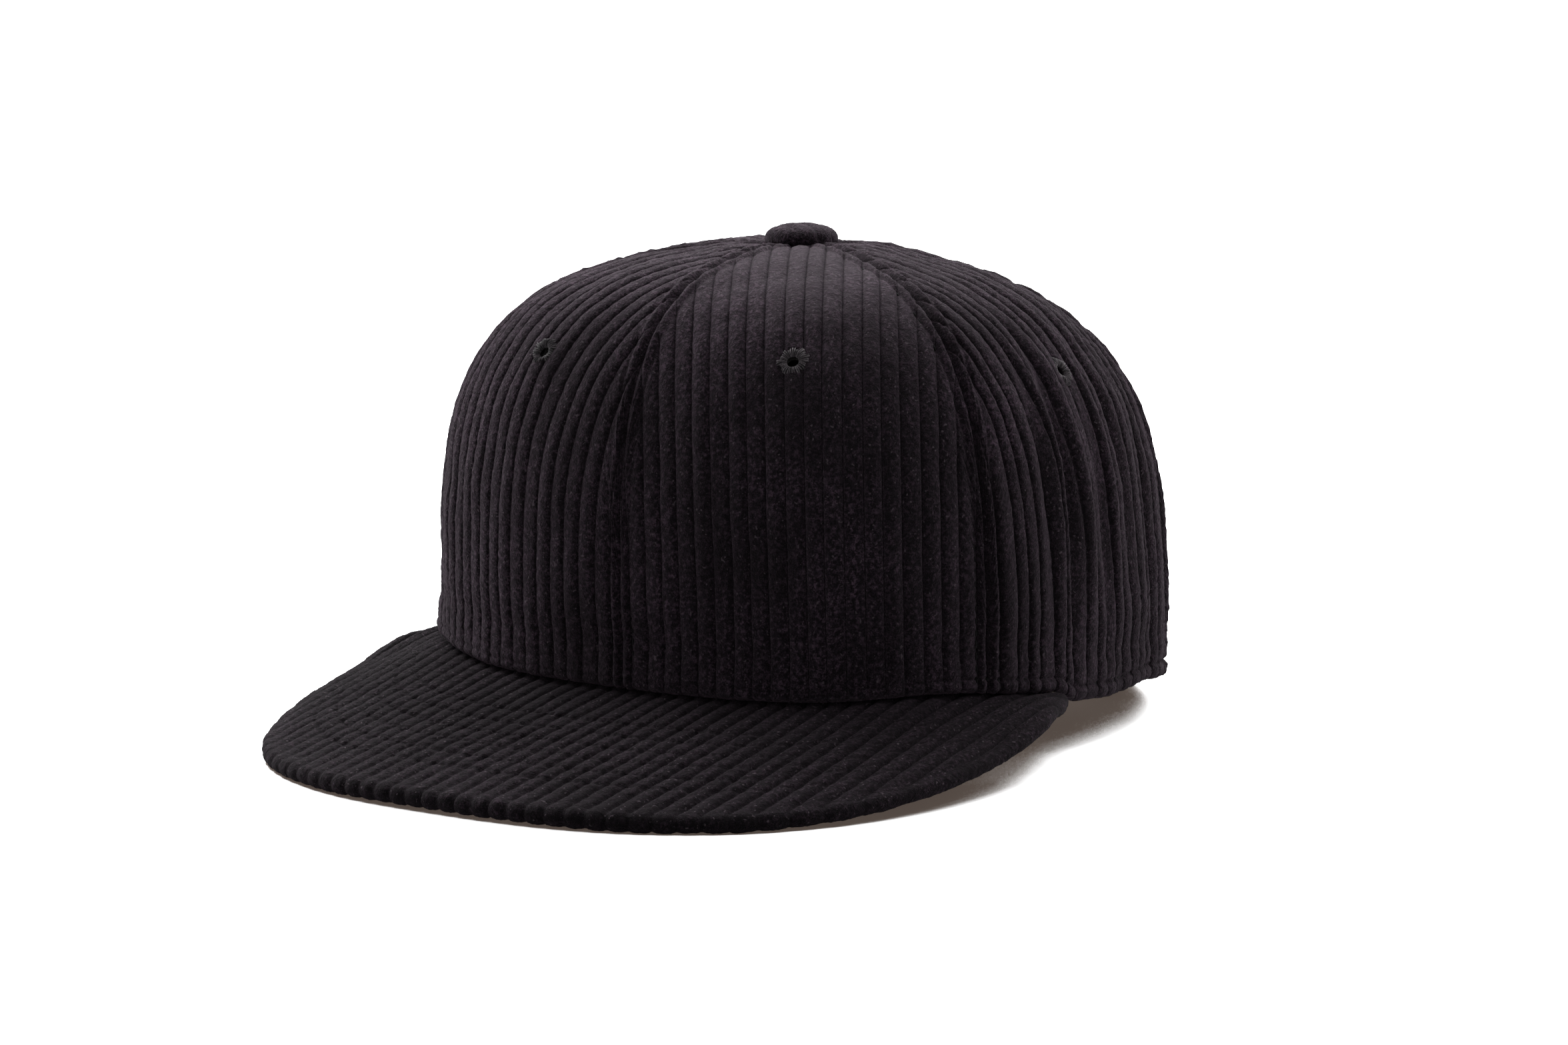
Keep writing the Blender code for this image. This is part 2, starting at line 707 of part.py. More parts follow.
# ---------------------------------------------------------------- impact insert

def shell_depth(around, rise):
    """The shell hangs clear of the sweatband in front, of the strap behind, and of the rivet on top."""
    share = smooth_step(from_front(around), 0.24, 0.35)
    side = SHELL_DEPTH_FRONT + (SHELL_DEPTH_REAR - SHELL_DEPTH_FRONT) * share
    top = smooth_step(rise_to_pole(around) - rise, 60 * MM, 5 * MM)
    return side + (SHELL_DEPTH_TOP - side) * top


def shell_edge(around):
    share = (1 - math.cos(2 * math.pi * around)) / 2
    return SHELL_EDGE_FRONT + (SHELL_EDGE_REAR - SHELL_EDGE_FRONT) * share


LOOP_DEPTH = CLOTH + STIFFENER + TAPE + 2 * LAYER_GAP + 2 * GAP
SHELL_COLUMNS = 30
SHELL_ROWS = 9


def shell_rise(around, row):
    """How far above the hem line a row of the shell's grid lies. The crown pad shares these rows."""
    edge = shell_edge(around)
    return edge + (rise_to_pole(around) - edge) * row / SHELL_ROWS


def pad_depth(around, rise):
    return shell_depth(around, rise) + SHELL_THICKNESS + PAD_GAP


VENTS = 10
VENT_HALF_WIDTH = 3.6 * MM
VENT_HALF_LENGTH = 12.0 * MM


def insert():
    """Vented impact shell, foam pads inside it, and the patches that hold it in the crown."""
    shell = crown_cap("impact_shell", "shell_plastic", shell_edge, shell_depth, SHELL_THICKNESS,
                      (SHELL_COLUMNS, SHELL_ROWS))
    for number in range(VENTS):
        around = (number + 0.5) / VENTS
        rise = rise_to_pole(around) - 62 * MM
        bm = rod(1.0, -20 * MM, 4 * MM, 16)
        bmesh.ops.transform(bm, matrix=Matrix.Diagonal((VENT_HALF_WIDTH, VENT_HALF_LENGTH, 1, 1)), verts=bm.verts)
        vent = cutter(f"vent_{number}", bm)
        vent.matrix_world = facing(around, rise)
        boolean(shell, vent)

    crown_cap("crown_pad", "foam", lambda at: shell_rise(at, SHELL_ROWS - 3), pad_depth, PAD_THICKNESS,
              (SHELL_COLUMNS, 3))
    pads = (("front_pad", -0.13, 0.13, 10), ("left_pad", 0.19, 0.30, 5), ("rear_pad", 0.42, 0.58, 6),
            ("right_pad", 0.70, 0.81, 5))
    for name, start_at, end_at, columns in pads:
        crown_layer(name, "foam", (start_at, end_at), (lambda at: shell_edge(at) + 3 * MM,
                    lambda at: rise_to_pole(at) - 78 * MM), pad_depth, PAD_THICKNESS, (columns, 3))
    patches = (("front", -0.045, 0.045, 62, 82), ("rear", 0.465, 0.535, 72, 90))
    for name, start_at, end_at, low, high in patches:
        span = (start_at, end_at)
        rise = (low * MM, high * MM)
        crown_layer("loop_patch_" + name, "hook_and_loop", span, rise, LOOP_DEPTH, 1.4 * MM, (4, 2))
        crown_layer("hook_patch_" + name, "hook_and_loop", span, rise,
                    lambda around, rise: shell_depth(around, rise) - 1.6 * MM, 1.1 * MM, (4, 2))


def build():
    start()
    for number in range(len(PANELS)):
        panel(number)
        eyelet(number)
    stiffener("front_left_stiffener", (0.0012, 0.1655), 0)
    stiffener("front_right_stiffener", (-0.1655, -0.0012), 5)
    for number in range(len(SEAMS)):
        seam_tape(number)
    button()
    visor()
    sweatband()
    arch()
    rear_strap()
    clasp()
    insert()


build()
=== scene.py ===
"""Looks of the corduroy bump cap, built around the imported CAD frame.

Metres, +Z up. The wearer faces -Y and the wearer's left side is +X. The crown is one smooth surface,
crown(around, rise), with the same driving dimensions as the CAD, and every cloth or plastic layer is a patch of
it at its own depth. Corduroy is real geometry: its columns of points follow the wales.
"""

import math

import bpy
import numpy as np
from mathutils import Matrix, Vector


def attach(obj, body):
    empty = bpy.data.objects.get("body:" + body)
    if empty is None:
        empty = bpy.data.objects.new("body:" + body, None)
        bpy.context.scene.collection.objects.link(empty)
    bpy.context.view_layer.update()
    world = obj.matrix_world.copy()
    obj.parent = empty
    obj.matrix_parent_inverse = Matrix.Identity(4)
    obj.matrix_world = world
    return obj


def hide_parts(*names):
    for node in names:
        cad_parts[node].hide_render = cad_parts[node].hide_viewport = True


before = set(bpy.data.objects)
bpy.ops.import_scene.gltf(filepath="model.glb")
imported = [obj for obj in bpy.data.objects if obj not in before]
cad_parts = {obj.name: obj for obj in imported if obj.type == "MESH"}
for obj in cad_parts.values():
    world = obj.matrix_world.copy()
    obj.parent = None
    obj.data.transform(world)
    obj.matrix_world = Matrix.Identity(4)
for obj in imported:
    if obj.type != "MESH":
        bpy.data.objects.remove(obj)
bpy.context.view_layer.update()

MM = 0.001

# Crown: plan outline, height, profile and hem line, as in the CAD
HALF_WIDTH = 92.7 * MM
FRONT_DEPTH = 87.5 * MM
REAR_DEPTH = 93.7 * MM
FRONT_SQUARENESS = 2.66
REAR_SQUARENESS = 2.285
CROWN_HEIGHT = 125.7 * MM
SIDE_PROFILE = 2.633
SIDE_PROFILE_FRONT = 0.633
TOP_PROFILE = 3.714
TOP_PROFILE_FRONT = -0.214
CROWN_LEAN = -4.5 * MM
CROWN_SWELL = 0.0114
HEM_REAR = 0.8 * MM
HEM_FRONT_RISE = 17.65 * MM
HEM_SIDE_RISE = 5.5 * MM
HEM_REAR_DIP = 2.4 * MM
HEM_REAR_DIP_FROM = (0.33, 0.42)
HEM_VISOR_LIFT = 2.3 * MM
HEM_VISOR_LIFT_AT = 0.145
HEM_VISOR_LIFT_SPREAD = 0.04
HEM_TAIL_DIP = 3.0 * MM
HEM_TAIL_DIP_FROM = (0.2075, 0.222)
HEM_TAIL_DIP_TO = (0.245, 0.295)

# Visor: plan outline and height of its top face, as in the CAD
VISOR_HALF_WIDTH = 104.1 * MM
VISOR_LENGTH = 123.7 * MM
VISOR_ROOT = -40.0 * MM
VISOR_SQUARENESS = 2.547
VISOR_TAIL = 60.0 * MM
VISOR_TAIL_TURN = math.radians(11.2)
VISOR_TAPER = 0.38
VISOR_TAPER_FROM = -54.0 * MM
VISOR_TAPER_EASE = 8.0 * MM
VISOR_HEIGHT = 23.7 * MM
VISOR_DROP = 0.2213
VISOR_UPTURN = 0.567
VISOR_CROWNING = 0.629
VISOR_FLAT = 6.0 * MM
VISOR_BLEND = (-20.8 * MM, 31.5 * MM)
VISOR_TUCK = 3.9 * MM
VISOR_REACH = 0.208
VISOR_THICKNESS = 4.1 * MM
CROWN_Y = (VISOR_LENGTH - VISOR_ROOT - REAR_DEPTH) / 2

# Layers and trim, as in the CAD
GAP = 0.3 * MM
LAYER_GAP = 0.5 * MM
PAD_GAP = 1.0 * MM
CLOTH = 1.5 * MM
STIFFENER = 0.6 * MM
TAPE = 0.5 * MM
TAPE_WIDTH = 12.0 * MM
SWEATBAND = 1.5 * MM
SWEATBAND_HEIGHT = 33.0 * MM
PANEL_TIP = 3.4 * MM
EYELET_RISE = 87.0 * MM
# Eyelets that sit off their panel's middle: place round the crown, and rise
EYELET_PLACES = {
    "front_right": (0.936, 85.0 * MM),
    "side_left": (0.246, EYELET_RISE),
    "side_right": (0.754, EYELET_RISE),
}
EYELET_RADIUS = 4.15 * MM
EYELET_HOLE = 1.5 * MM
BUTTON_RADIUS = 9.8 * MM
BUTTON_HEIGHT = 6.4 * MM
ARCH_HALF_WIDTH = 38.0 * MM
ARCH_HEIGHT = 48.0 * MM
STRAP_RADIUS = 103.0 * MM
STRAP_APEX = 87.5 * MM
STRAP_THICKNESS = 2.0 * MM
STRAP_LOW = 2.6 * MM
STRAP_HIGH = 21.4 * MM
STRAP_HALF_LENGTH = 62.0 * MM
STRAP_WALES = 4
TAB_MARGIN = 0.8 * MM
TAB_THICKNESS = 2.0 * MM
CLASP_ANGLE = math.radians(7)
BAR_ACROSS = 11.5 * MM
BAR_OUT = 3.8 * MM
BAR_RADIUS = 0.9 * MM
SHELL_DEPTH_FRONT = 7.9 * MM
SHELL_DEPTH_REAR = 11.5 * MM
SHELL_DEPTH_TOP = 9.0 * MM
SHELL_THICKNESS = 2.2 * MM
SHELL_EDGE_FRONT = 28.0 * MM
SHELL_EDGE_REAR = 56.0 * MM
VENTS = 10
VENTS_BELOW_POLE = 62.0 * MM

# Corduroy
WALE = 4.95 * MM
WALE_HEIGHT = 1.05 * MM
WALE_BASE = -0.65 * MM
WALE_WANDER = 0.85 * MM
WALE_POINTS = (-0.5, -0.455, -0.39, -0.27, -0.10, 0.10, 0.27, 0.39, 0.455)
STITCH = 3.1 * MM
STITCH_FILL = 0.74
THREAD = 0.26 * MM

# Camera
CAMERA_AZIMUTH = math.radians(33.431)
CAMERA_ELEVATION = math.radians(8.505)
CAMERA_DISTANCE = 1108.5 * MM
CAMERA_LENS = 94.286
CAMERA_AIM_HEIGHT = 60.7 * MM
CAMERA_RIGHT = -7.13 * MM
CAMERA_UP = -10.22 * MM

# Studio
FLOOR_RADIUS = 60.0
FLOOR_GLOW = 0.85
FLOOR_SHADE_REACH = 150 * MM
SKY = 1.15
BACKDROP = 1.2
DIM_SKY = 0.24


# ---------------------------------------------------------------- camera, floor and light

def camera():
    a, e = CAMERA_AZIMUTH, CAMERA_ELEVATION
    back = Vector((math.sin(a) * math.cos(e), -math.cos(a) * math.cos(e), math.sin(e)))
    right = Vector((math.cos(a), math.sin(a), 0))
    up = back.cross(right)
    data = bpy.data.cameras.new("camera")
    data.lens = CAMERA_LENS
    data.sensor_width = 36
    data.clip_end = 20
    made = bpy.data.objects.new("camera", data)
    bpy.context.scene.collection.objects.link(made)
    aim = Vector((0, CROWN_Y, CAMERA_AIM_HEIGHT)) + right * CAMERA_RIGHT + up * CAMERA_UP
    turn = Matrix((right, up, back)).transposed().to_4x4()
    made.matrix_world = Matrix.Translation(aim + back * CAMERA_DISTANCE) @ turn
    bpy.context.scene.camera = made


def area_light(name, place, aim, size, power):
    data = bpy.data.lights.new(name, "AREA")
    data.shape = "RECTANGLE"
    data.size, data.size_y = size
    data.energy = power
    made = bpy.data.objects.new(name, data)
    bpy.context.scene.collection.objects.link(made)
    made.location = place
    made.rotation_euler = (Vector(aim) - Vector(place)).to_track_quat("-Z", "Y").to_euler()


def studio():
    """A white sweep under a sky that is brightest overhead and behind, with soft lights behind and beside."""
    points = floor_points()
    floor = make_object("floor", points.reshape(-1, 3), quads(*points.shape[:2]))
    floor.data.materials.append(floor_material())
    world = bpy.data.worlds.new("studio")
    bpy.context.scene.world = world
    sky = Shading(world)
    toward = sky.add("SeparateXYZ", {0: sky.add("TexCoord").outputs["Generated"]}).outputs
    bright = sky.maths("ADD", toward["Z"], sky.maths("MULTIPLY", toward["Y"], 0.9))
    bright = sky.maths("SUBTRACT", bright, sky.maths("MULTIPLY", toward["X"], 0.4))
    shade = sky.ramp(sky.maths("DIVIDE", bright, 1.3), (DIM_SKY,) * 3, (1.0, 1.0, 1.0), (0.30, 1.05))
    lit = sky.fill(sky.nodes["Background"], {"Color": shade, "Strength": SKY})
    seen = sky.add("Background", {"Color": (1, 1, 1), "Strength": BACKDROP})
    camera_ray = sky.add("LightPath").outputs["Is Camera Ray"]
    mix = sky.add("MixShader", {"Fac": camera_ray, 1: lit.outputs[0], 2: seen.outputs[0]})
    sky.fill(sky.nodes["World Output"], {"Surface": mix.outputs[0]})
    area_light("behind", (-0.35, 1.15, 0.95), (0, 0.03, 0.08), (1.7, 0.8), 31)
    area_light("left", (-1.1, 0.15, 0.75), (0, 0, 0.08), (0.8, 0.7), 22)
    area_light("front", (-0.9, -1.15, 0.35), (0, 0, 0.06), (0.9, 0.5), 1.2)
    area_light("right", (0.90, 0.60, 0.95), (0.05, 0.05, 0.06), (0.6, 0.6), 6)
    bpy.context.scene.view_settings.view_transform = "Standard"


def floor_points():
    """A round floor, wide enough to meet the white surround far away."""
    rings, spokes = 40, 97
    turn = np.linspace(0, 2 * math.pi, spokes)[None, :]
    radius = np.linspace(0.001, 1, rings)[:, None] ** 2 * FLOOR_RADIUS
    return np.stack([radius * np.cos(turn), radius * np.sin(turn), np.zeros((rings, spokes))], axis=-1)


# ---------------------------------------------------------------- meshes from arrays

def make_object(name, points, faces, attributes=None):
    """A smooth-shaded mesh object of four-sided faces, with a number at each point for each attribute."""
    mesh = bpy.data.meshes.new(name)
    faces = np.asarray(faces, np.int32)
    mesh.vertices.add(len(points))
    mesh.vertices.foreach_set("co", np.asarray(points, np.float32).ravel())
    mesh.loops.add(faces.size)
    mesh.loops.foreach_set("vertex_index", faces.ravel())
    mesh.polygons.add(len(faces))
    mesh.polygons.foreach_set("loop_start", np.arange(0, faces.size, 4, dtype=np.int32))
    mesh.update(calc_edges=True)
    mesh.validate()
    mesh.shade_smooth()
    for key, values in (attributes or {}).items():
        stored = mesh.attributes.new(key, "FLOAT", "POINT")
        stored.data.foreach_set("value", np.asarray(values, np.float32).ravel())
    obj = bpy.data.objects.new(name, mesh)
    bpy.context.scene.collection.objects.link(obj)
    return obj


def quads(rows, columns, wrap=False):
    """The quads of a grid of points stored row by row. Wrap joins its last column to its first."""
    index = np.arange(rows * columns).reshape(rows, columns)
    if wrap:
        index = np.concatenate([index, index[:, :1]], axis=1)
    return np.stack([index[:-1, :-1], index[:-1, 1:], index[1:, 1:], index[1:, :-1]], axis=-1).reshape(-1, 4)


def rod_points(route, side, up, radius, sides):
    """Rings of points round a route's points, in the plane of two directions."""
    turn = np.arange(sides) / sides * 2 * math.pi
    ring = side[:, None] * np.cos(turn)[None, :, None] + up[:, None] * np.sin(turn)[None, :, None]
    return (route[:, None] + ring * radius[:, None, None]).reshape(-1, 3)


def rod_faces(rings, sides):
    """The faces of a closed rod: quads between its rings, and a fan of quads over each end."""
    fan = np.array([[0, k, k + 1, k + 2] for k in range(1, sides - 1, 2)])
    return np.concatenate([quads(rings, sides, wrap=True)[:, ::-1], fan, fan[:, ::-1] + (rings - 1) * sides])


def slab_faces(rows, columns, wrap=False):
    """The faces of a closed solid between an outer and an inner grid of the same shape."""
    outer = quads(rows, columns, wrap)
    count = rows * columns
    inner = outer[:, ::-1] + count
    index = np.arange(count).reshape(rows, columns)
    rims = []

    def rim(line):
        rims.append(np.stack([line[1:], line[:-1], line[:-1] + count, line[1:] + count], axis=-1))

    def around(line):
        return np.append(line, line[0]) if wrap else line

    rim(around(index[0]))
    rim(around(index[-1])[::-1])
    if not wrap:
        rim(index[::-1, 0])
        rim(index[:, -1])
    return np.concatenate([outer, inner, *rims])


def slab(name, outer, inner, wrap=False, attributes=None):
    rows, columns = outer.shape[:2]
    points = np.concatenate([outer.reshape(-1, 3), inner.reshape(-1, 3)])
    doubled = {key: np.concatenate([v.ravel(), v.ravel()]) for key, v in (attributes or {}).items()}
    return make_object(name, points, slab_faces(rows, columns, wrap), attributes=doubled)


def value_noise(points, size, seed):
    """Smooth noise from -1 to 1 at an array of points, with features of about that size."""
    lattice = np.random.default_rng(seed).uniform(-1, 1, (31, 31, 31))
    place = np.asarray(points) / size
    low = np.floor(place).astype(int)
    share = place - low
    share = share * share * (3 - 2 * share)
    total = np.zeros(place.shape[:-1])
    for corner in np.ndindex(2, 2, 2):
        weight = np.prod(np.where(corner, share, 1 - share), axis=-1)
        index = (low + corner) % 31
        total += weight * lattice[index[..., 0], index[..., 1], index[..., 2]]
    return total


def jitter(shape, seed):
    return np.random.default_rng(seed).uniform(-1, 1, shape)


def smooth_step(value, low, high):
    share = np.clip((np.asarray(value) - low) / (high - low), 0, 1)
    return share * share * (3 - 2 * share)


def bell(value, middle, spread):
    return np.exp(-((value - middle) / spread) ** 2)


# ---------------------------------------------------------------- the crown's surface

def signed_power(value, power):
    return np.sign(value) * np.abs(value) ** power


def from_front(around):
    around = np.asarray(around) % 1.0
    return np.minimum(around, 1 - around)


def by_length(points):
    steps = np.linalg.norm(np.diff(points, axis=0), axis=1)
    return np.concatenate([[0.0], np.cumsum(steps)])


def hem_outline():
    turn = np.linspace(0, 2 * math.pi, 2881)
    front = np.cos(turn) >= 0
    power = np.where(front, 2 / FRONT_SQUARENESS, 2 / REAR_SQUARENESS)
    depth = np.where(front, FRONT_DEPTH, REAR_DEPTH)
    points = np.stack([HALF_WIDTH * signed_power(np.sin(turn), power),
                       -depth * signed_power(np.cos(turn), power)], axis=1)
    return points, by_length(points)


HEM_POINTS, HEM_LENGTHS = hem_outline()
HEM_LENGTH = HEM_LENGTHS[-1]


def hem_height(around):
    turn = 2 * math.pi * np.asarray(around)
    away = from_front(around)
    rise = HEM_FRONT_RISE * (1 + np.cos(turn)) / 2 + HEM_SIDE_RISE * (1 - np.cos(2 * turn)) / 2
    rise = rise - HEM_REAR_DIP * smooth_step(away, *HEM_REAR_DIP_FROM)
    rise = rise + HEM_VISOR_LIFT * bell(away, HEM_VISOR_LIFT_AT, HEM_VISOR_LIFT_SPREAD)
    dip = smooth_step(away, *HEM_TAIL_DIP_FROM) * (1 - smooth_step(away, *HEM_TAIL_DIP_TO))
    return HEM_REAR + np.maximum(rise - HEM_TAIL_DIP * dip, 0)


ROUND_STEPS = 1440
CLIMB_STEPS = 260


def crown_tables():
    """Points and normals of the crown by place round it and share of the way up, and its rises to the pole."""
    around = np.linspace(0, 1, ROUND_STEPS + 1)
    turn = 2 * math.pi * around[:, None]
    plan = np.stack([np.interp(around * HEM_LENGTH, HEM_LENGTHS, HEM_POINTS[:, k]) for k in (0, 1)], axis=1)
    low = hem_height(around)[:, None]
    climb = np.linspace(0, math.pi / 2, 721)[None]
    reach = np.cos(climb) ** (2 / (SIDE_PROFILE + SIDE_PROFILE_FRONT * np.cos(turn)))
    reach[:, -1] = 0
    lift = np.sin(climb) ** (2 / (TOP_PROFILE + TOP_PROFILE_FRONT * np.cos(turn)))
    swell = reach * (1 + CROWN_SWELL * lift)
    points = np.stack([plan[:, :1] * swell, plan[:, 1:] * swell + CROWN_LEAN * lift + CROWN_Y,
                       low + (CROWN_HEIGHT - low) * lift], axis=-1)
    steps = np.linalg.norm(np.diff(points, axis=1), axis=2)
    length = np.concatenate([np.zeros((len(around), 1)), np.cumsum(steps, axis=1)], axis=1)
    share = np.linspace(0, 1, CLIMB_STEPS + 1)
    table = np.empty((len(around), len(share), 3))
    for row in range(len(around)):
        for k in range(3):
            table[row, :, k] = np.interp(share * length[row, -1], length[row], points[row, :, k])
    ring = np.concatenate([table[-3:-1], table, table[1:3]])
    sideways = np.gradient(ring, axis=0)[2:-2]
    normals = np.cross(sideways, np.gradient(table, axis=1))
    normals /= np.maximum(np.linalg.norm(normals, axis=2, keepdims=True), 1e-12)
    level = smooth_step(share, 0.96, 0.99)[None, :, None]
    normals = normals * (1 - level) + np.array([0, 0, 1.0]) * level
    return table, normals, length[:, -1]


CROWN, NORMALS, RISES = crown_tables()


def rise_to_pole(around):
    return np.interp(np.asarray(around) % 1.0, np.linspace(0, 1, ROUND_STEPS + 1), RISES)


def look_up(table, around, rise):
    across = (np.asarray(around) % 1.0) * ROUND_STEPS
    up = np.clip(rise / rise_to_pole(around), 0, 1) * CLIMB_STEPS
    across, up = np.broadcast_arrays(across, up)
    i = np.minimum(across.astype(int), ROUND_STEPS - 1)
    j = np.minimum(up.astype(int), CLIMB_STEPS - 1)
    s, t = (across - i)[..., None], (up - j)[..., None]
    low = table[i, j] * (1 - t) + table[i, j + 1] * t
    high = table[i + 1, j] * (1 - t) + table[i + 1, j + 1] * t
    return low * (1 - s) + high * s


def crown(around, rise):
    return look_up(CROWN, around, rise)


def crown_normal(around, rise):
    normals = look_up(NORMALS, around, rise)
    return normals / np.linalg.norm(normals, axis=-1, keepdims=True)


def under_crown(around, rise, depth):
    depth = np.broadcast_to(depth, np.broadcast_shapes(np.shape(around), np.shape(rise)))
    return crown(around, rise) - crown_normal(around, rise) * depth[..., None]


def facing(around, rise):
    """A place on the crown with +Z along its outward normal and +X round it."""
    normal = Vector(crown_normal(around, rise))
    sideways = Vector(crown(around + 0.002, rise) - crown(around - 0.002, rise)).normalized()
    turn = Matrix((sideways, normal.cross(sideways), normal)).transposed()
    return Matrix.Translation(crown(around, rise)) @ turn.to_4x4()


# ---------------------------------------------------------------- folds of the worn cloth

# Soft folds and swellings: place round the crown, rise, spread of each, lean in place per metre of rise, height
FOLDS = (
    (0.222, 55 * MM, 0.0042, 34 * MM, 0.05, -3.2 * MM),
    (0.205, 50 * MM, 0.0050, 34 * MM, 0.05, -1.6 * MM),
    (0.2125, 55 * MM, 0.0040, 34 * MM, 0.05, 1.0 * MM),
    (0.234, 60 * MM, 0.0045, 34 * MM, 0.05, 1.2 * MM),
    (0.250, 45 * MM, 0.0040, 28 * MM, 0.04, -2.0 * MM),
    (0.272, 60 * MM, 0.0040, 30 * MM, 0.0, -1.4 * MM),
    (0.295, 40 * MM, 0.0045, 30 * MM, 0.0, -1.6 * MM),
    (0.325, 45 * MM, 0.0050, 30 * MM, 0.0, -1.2 * MM),
    (-0.168, 1 * MM, 0.036, 11 * MM, 0.0, 3.2 * MM),
    (-0.160, 78 * MM, 0.070, 40 * MM, 0.0, -0.5 * MM),
    (-0.200, 14 * MM, 0.045, 12 * MM, 0.0, 1.6 * MM),
    (-0.176, 34 * MM, 0.005, 24 * MM, 0.0, -1.6 * MM),
    (-0.090, 40 * MM, 0.030, 30 * MM, 0.0, -1.0 * MM),
    (0.060, 30 * MM, 0.050, 22 * MM, 0.0, -0.8 * MM),
    (0.390, 118 * MM, 0.070, 26 * MM, 0.0, -1.2 * MM),
    (-0.300, 150 * MM, 0.090, 16 * MM, 0.0, 0.9 * MM),
)


def folds(around, rise):
    total = np.zeros(np.broadcast_shapes(np.shape(around), np.shape(rise)))
    for middle, height, width, tall, lean, amount in FOLDS:
        away = (np.asarray(around) - middle - lean * (rise - height) + 0.5) % 1.0 - 0.5
        total = total + amount * bell(away, 0, width) * bell(rise, height, tall)
    return total


# ---------------------------------------------------------------- materials

class Shading:
    """A node tree with short ways to add nodes. An input takes a number, a colour or another node's output."""

    def __init__(self, owner):
        owner.use_nodes = True
        self.owner = owner
        self.nodes, self.links = owner.node_tree.nodes, owner.node_tree.links

    def fill(self, node, inputs):
        for key, value in inputs.items():
            socket = node.inputs[key]
            if isinstance(value, bpy.types.NodeSocket):
                self.links.new(value, socket)
            elif socket.type == "RGBA":
                socket.default_value = (*value, 1)
            else:
                socket.default_value = value
        return node

    def add(self, kind, inputs=None, **settings):
        made = self.nodes.new("ShaderNode" + kind)
        for key, value in settings.items():
            setattr(made, key, value)
        return self.fill(made, inputs or {})

    def ramp(self, value, low, high, at=(0.35, 0.65)):
        made = self.add("ValToRGB", {"Fac": value})
        for stop, place, colour in zip(made.color_ramp.elements, at, (low, high)):
            stop.position = place
            stop.color = (*colour, 1)
        return made.outputs["Color"]

    def mix(self, share, one, two, kind="MIX"):
        made = self.add("Mix", data_type="RGBA", blend_type=kind)
        return self.fill(made, {"Factor": share, 6: one, 7: two}).outputs[2]

    def maths(self, operation, one, two):
        return self.add("Math", {0: one, 1: two}, operation=operation).outputs[0]


class Material(Shading):
    """A new material whose textures follow the object's own coordinates."""

    def __init__(self, name):
        super().__init__(bpy.data.materials.new(name))
        self.coords = self.add("TexCoord").outputs["Object"]

    def noise(self, scale, detail=2.0, roughness=0.55, coords=None):
        where = self.coords if coords is None else coords
        inputs = {"Vector": where, "Scale": scale, "Detail": detail, "Roughness": roughness}
        return self.add("TexNoise", inputs).outputs["Fac"]

    def cavity_shade(self):
        """How deep in a groove or gap each point is, as the mesh says: how much painted shade it gets."""
        return self.add("Attribute", attribute_name="cavity_shade").outputs["Fac"]

    def bump(self, height, distance, strength=1.0):
        inputs = {"Height": height, "Distance": distance, "Strength": strength}
        return self.add("Bump", inputs).outputs["Normal"]

    def finished(self, inputs):
        self.fill(self.nodes["Principled BSDF"], inputs)
        return self.owner


def times(colour, factor):
    return tuple(factor * c for c in colour)


def corduroy_material(name="corduroy", painted_shade_scale=1.0, sheen=0.13):
    """Pile with painted shade down in the grooves, lighter and darker patches of painted sheen where the pile
    lies another way, and small painted glints.
    """
    made = Material(name)
    speckle = made.noise(1000, 4.0, 0.9)
    clumps = made.noise(780, 2.0, 0.6)
    # The pile's colours are scaled down for a darker copy of the corduroy, which is painted shade.
    dark, light = (0.0015, 0.0009, 0.0013), (0.0337, 0.0242, 0.0315)
    pile = made.ramp(speckle, times(dark, painted_shade_scale), times(light, painted_shade_scale), (0.46, 0.58))
    # Painted sheen: lighter and darker patches that stand in for the pile catching the light differently where
    # it lies another way.
    painted_sheen_patches = made.ramp(made.noise(30, 2.5, 0.5), (0.50, 0.48, 0.50), (1.35, 1.30, 1.37), (0.36, 0.62))
    tufts = made.ramp(clumps, (0.36, 0.37, 0.39), (1.70, 1.60, 1.66), (0.40, 0.62))
    # Painted glints: tiny light specks mixed into the pile colour.
    painted_glints = made.ramp(made.noise(1300, 0.0), (0, 0, 0), (0.7, 0.7, 0.7), (0.74, 0.80))
    colour = made.mix(1.0, pile, painted_sheen_patches, "MULTIPLY")
    colour = made.mix(1.0, colour, tufts, "MULTIPLY")
    colour = made.mix(painted_glints, colour, (0.090, 0.072, 0.084))
    height = made.maths("ADD", made.maths("MULTIPLY", clumps, 0.6), speckle)
    return made.finished({
        # Painted shade: darker down in the grooves, seams, gaps and stitched dents, as the mesh says.
        "Base Color": made.mix(made.cavity_shade(), colour, (0.0016, 0.0012, 0.0016)),
        "Roughness": 1.0,
        "Specular IOR Level": 0.1,
        "Sheen Weight": sheen,
        "Sheen Roughness": 0.45,
        "Sheen Tint": (1.0, 0.78, 0.95),
        "Normal": made.bump(height, 0.7 * MM),
    })


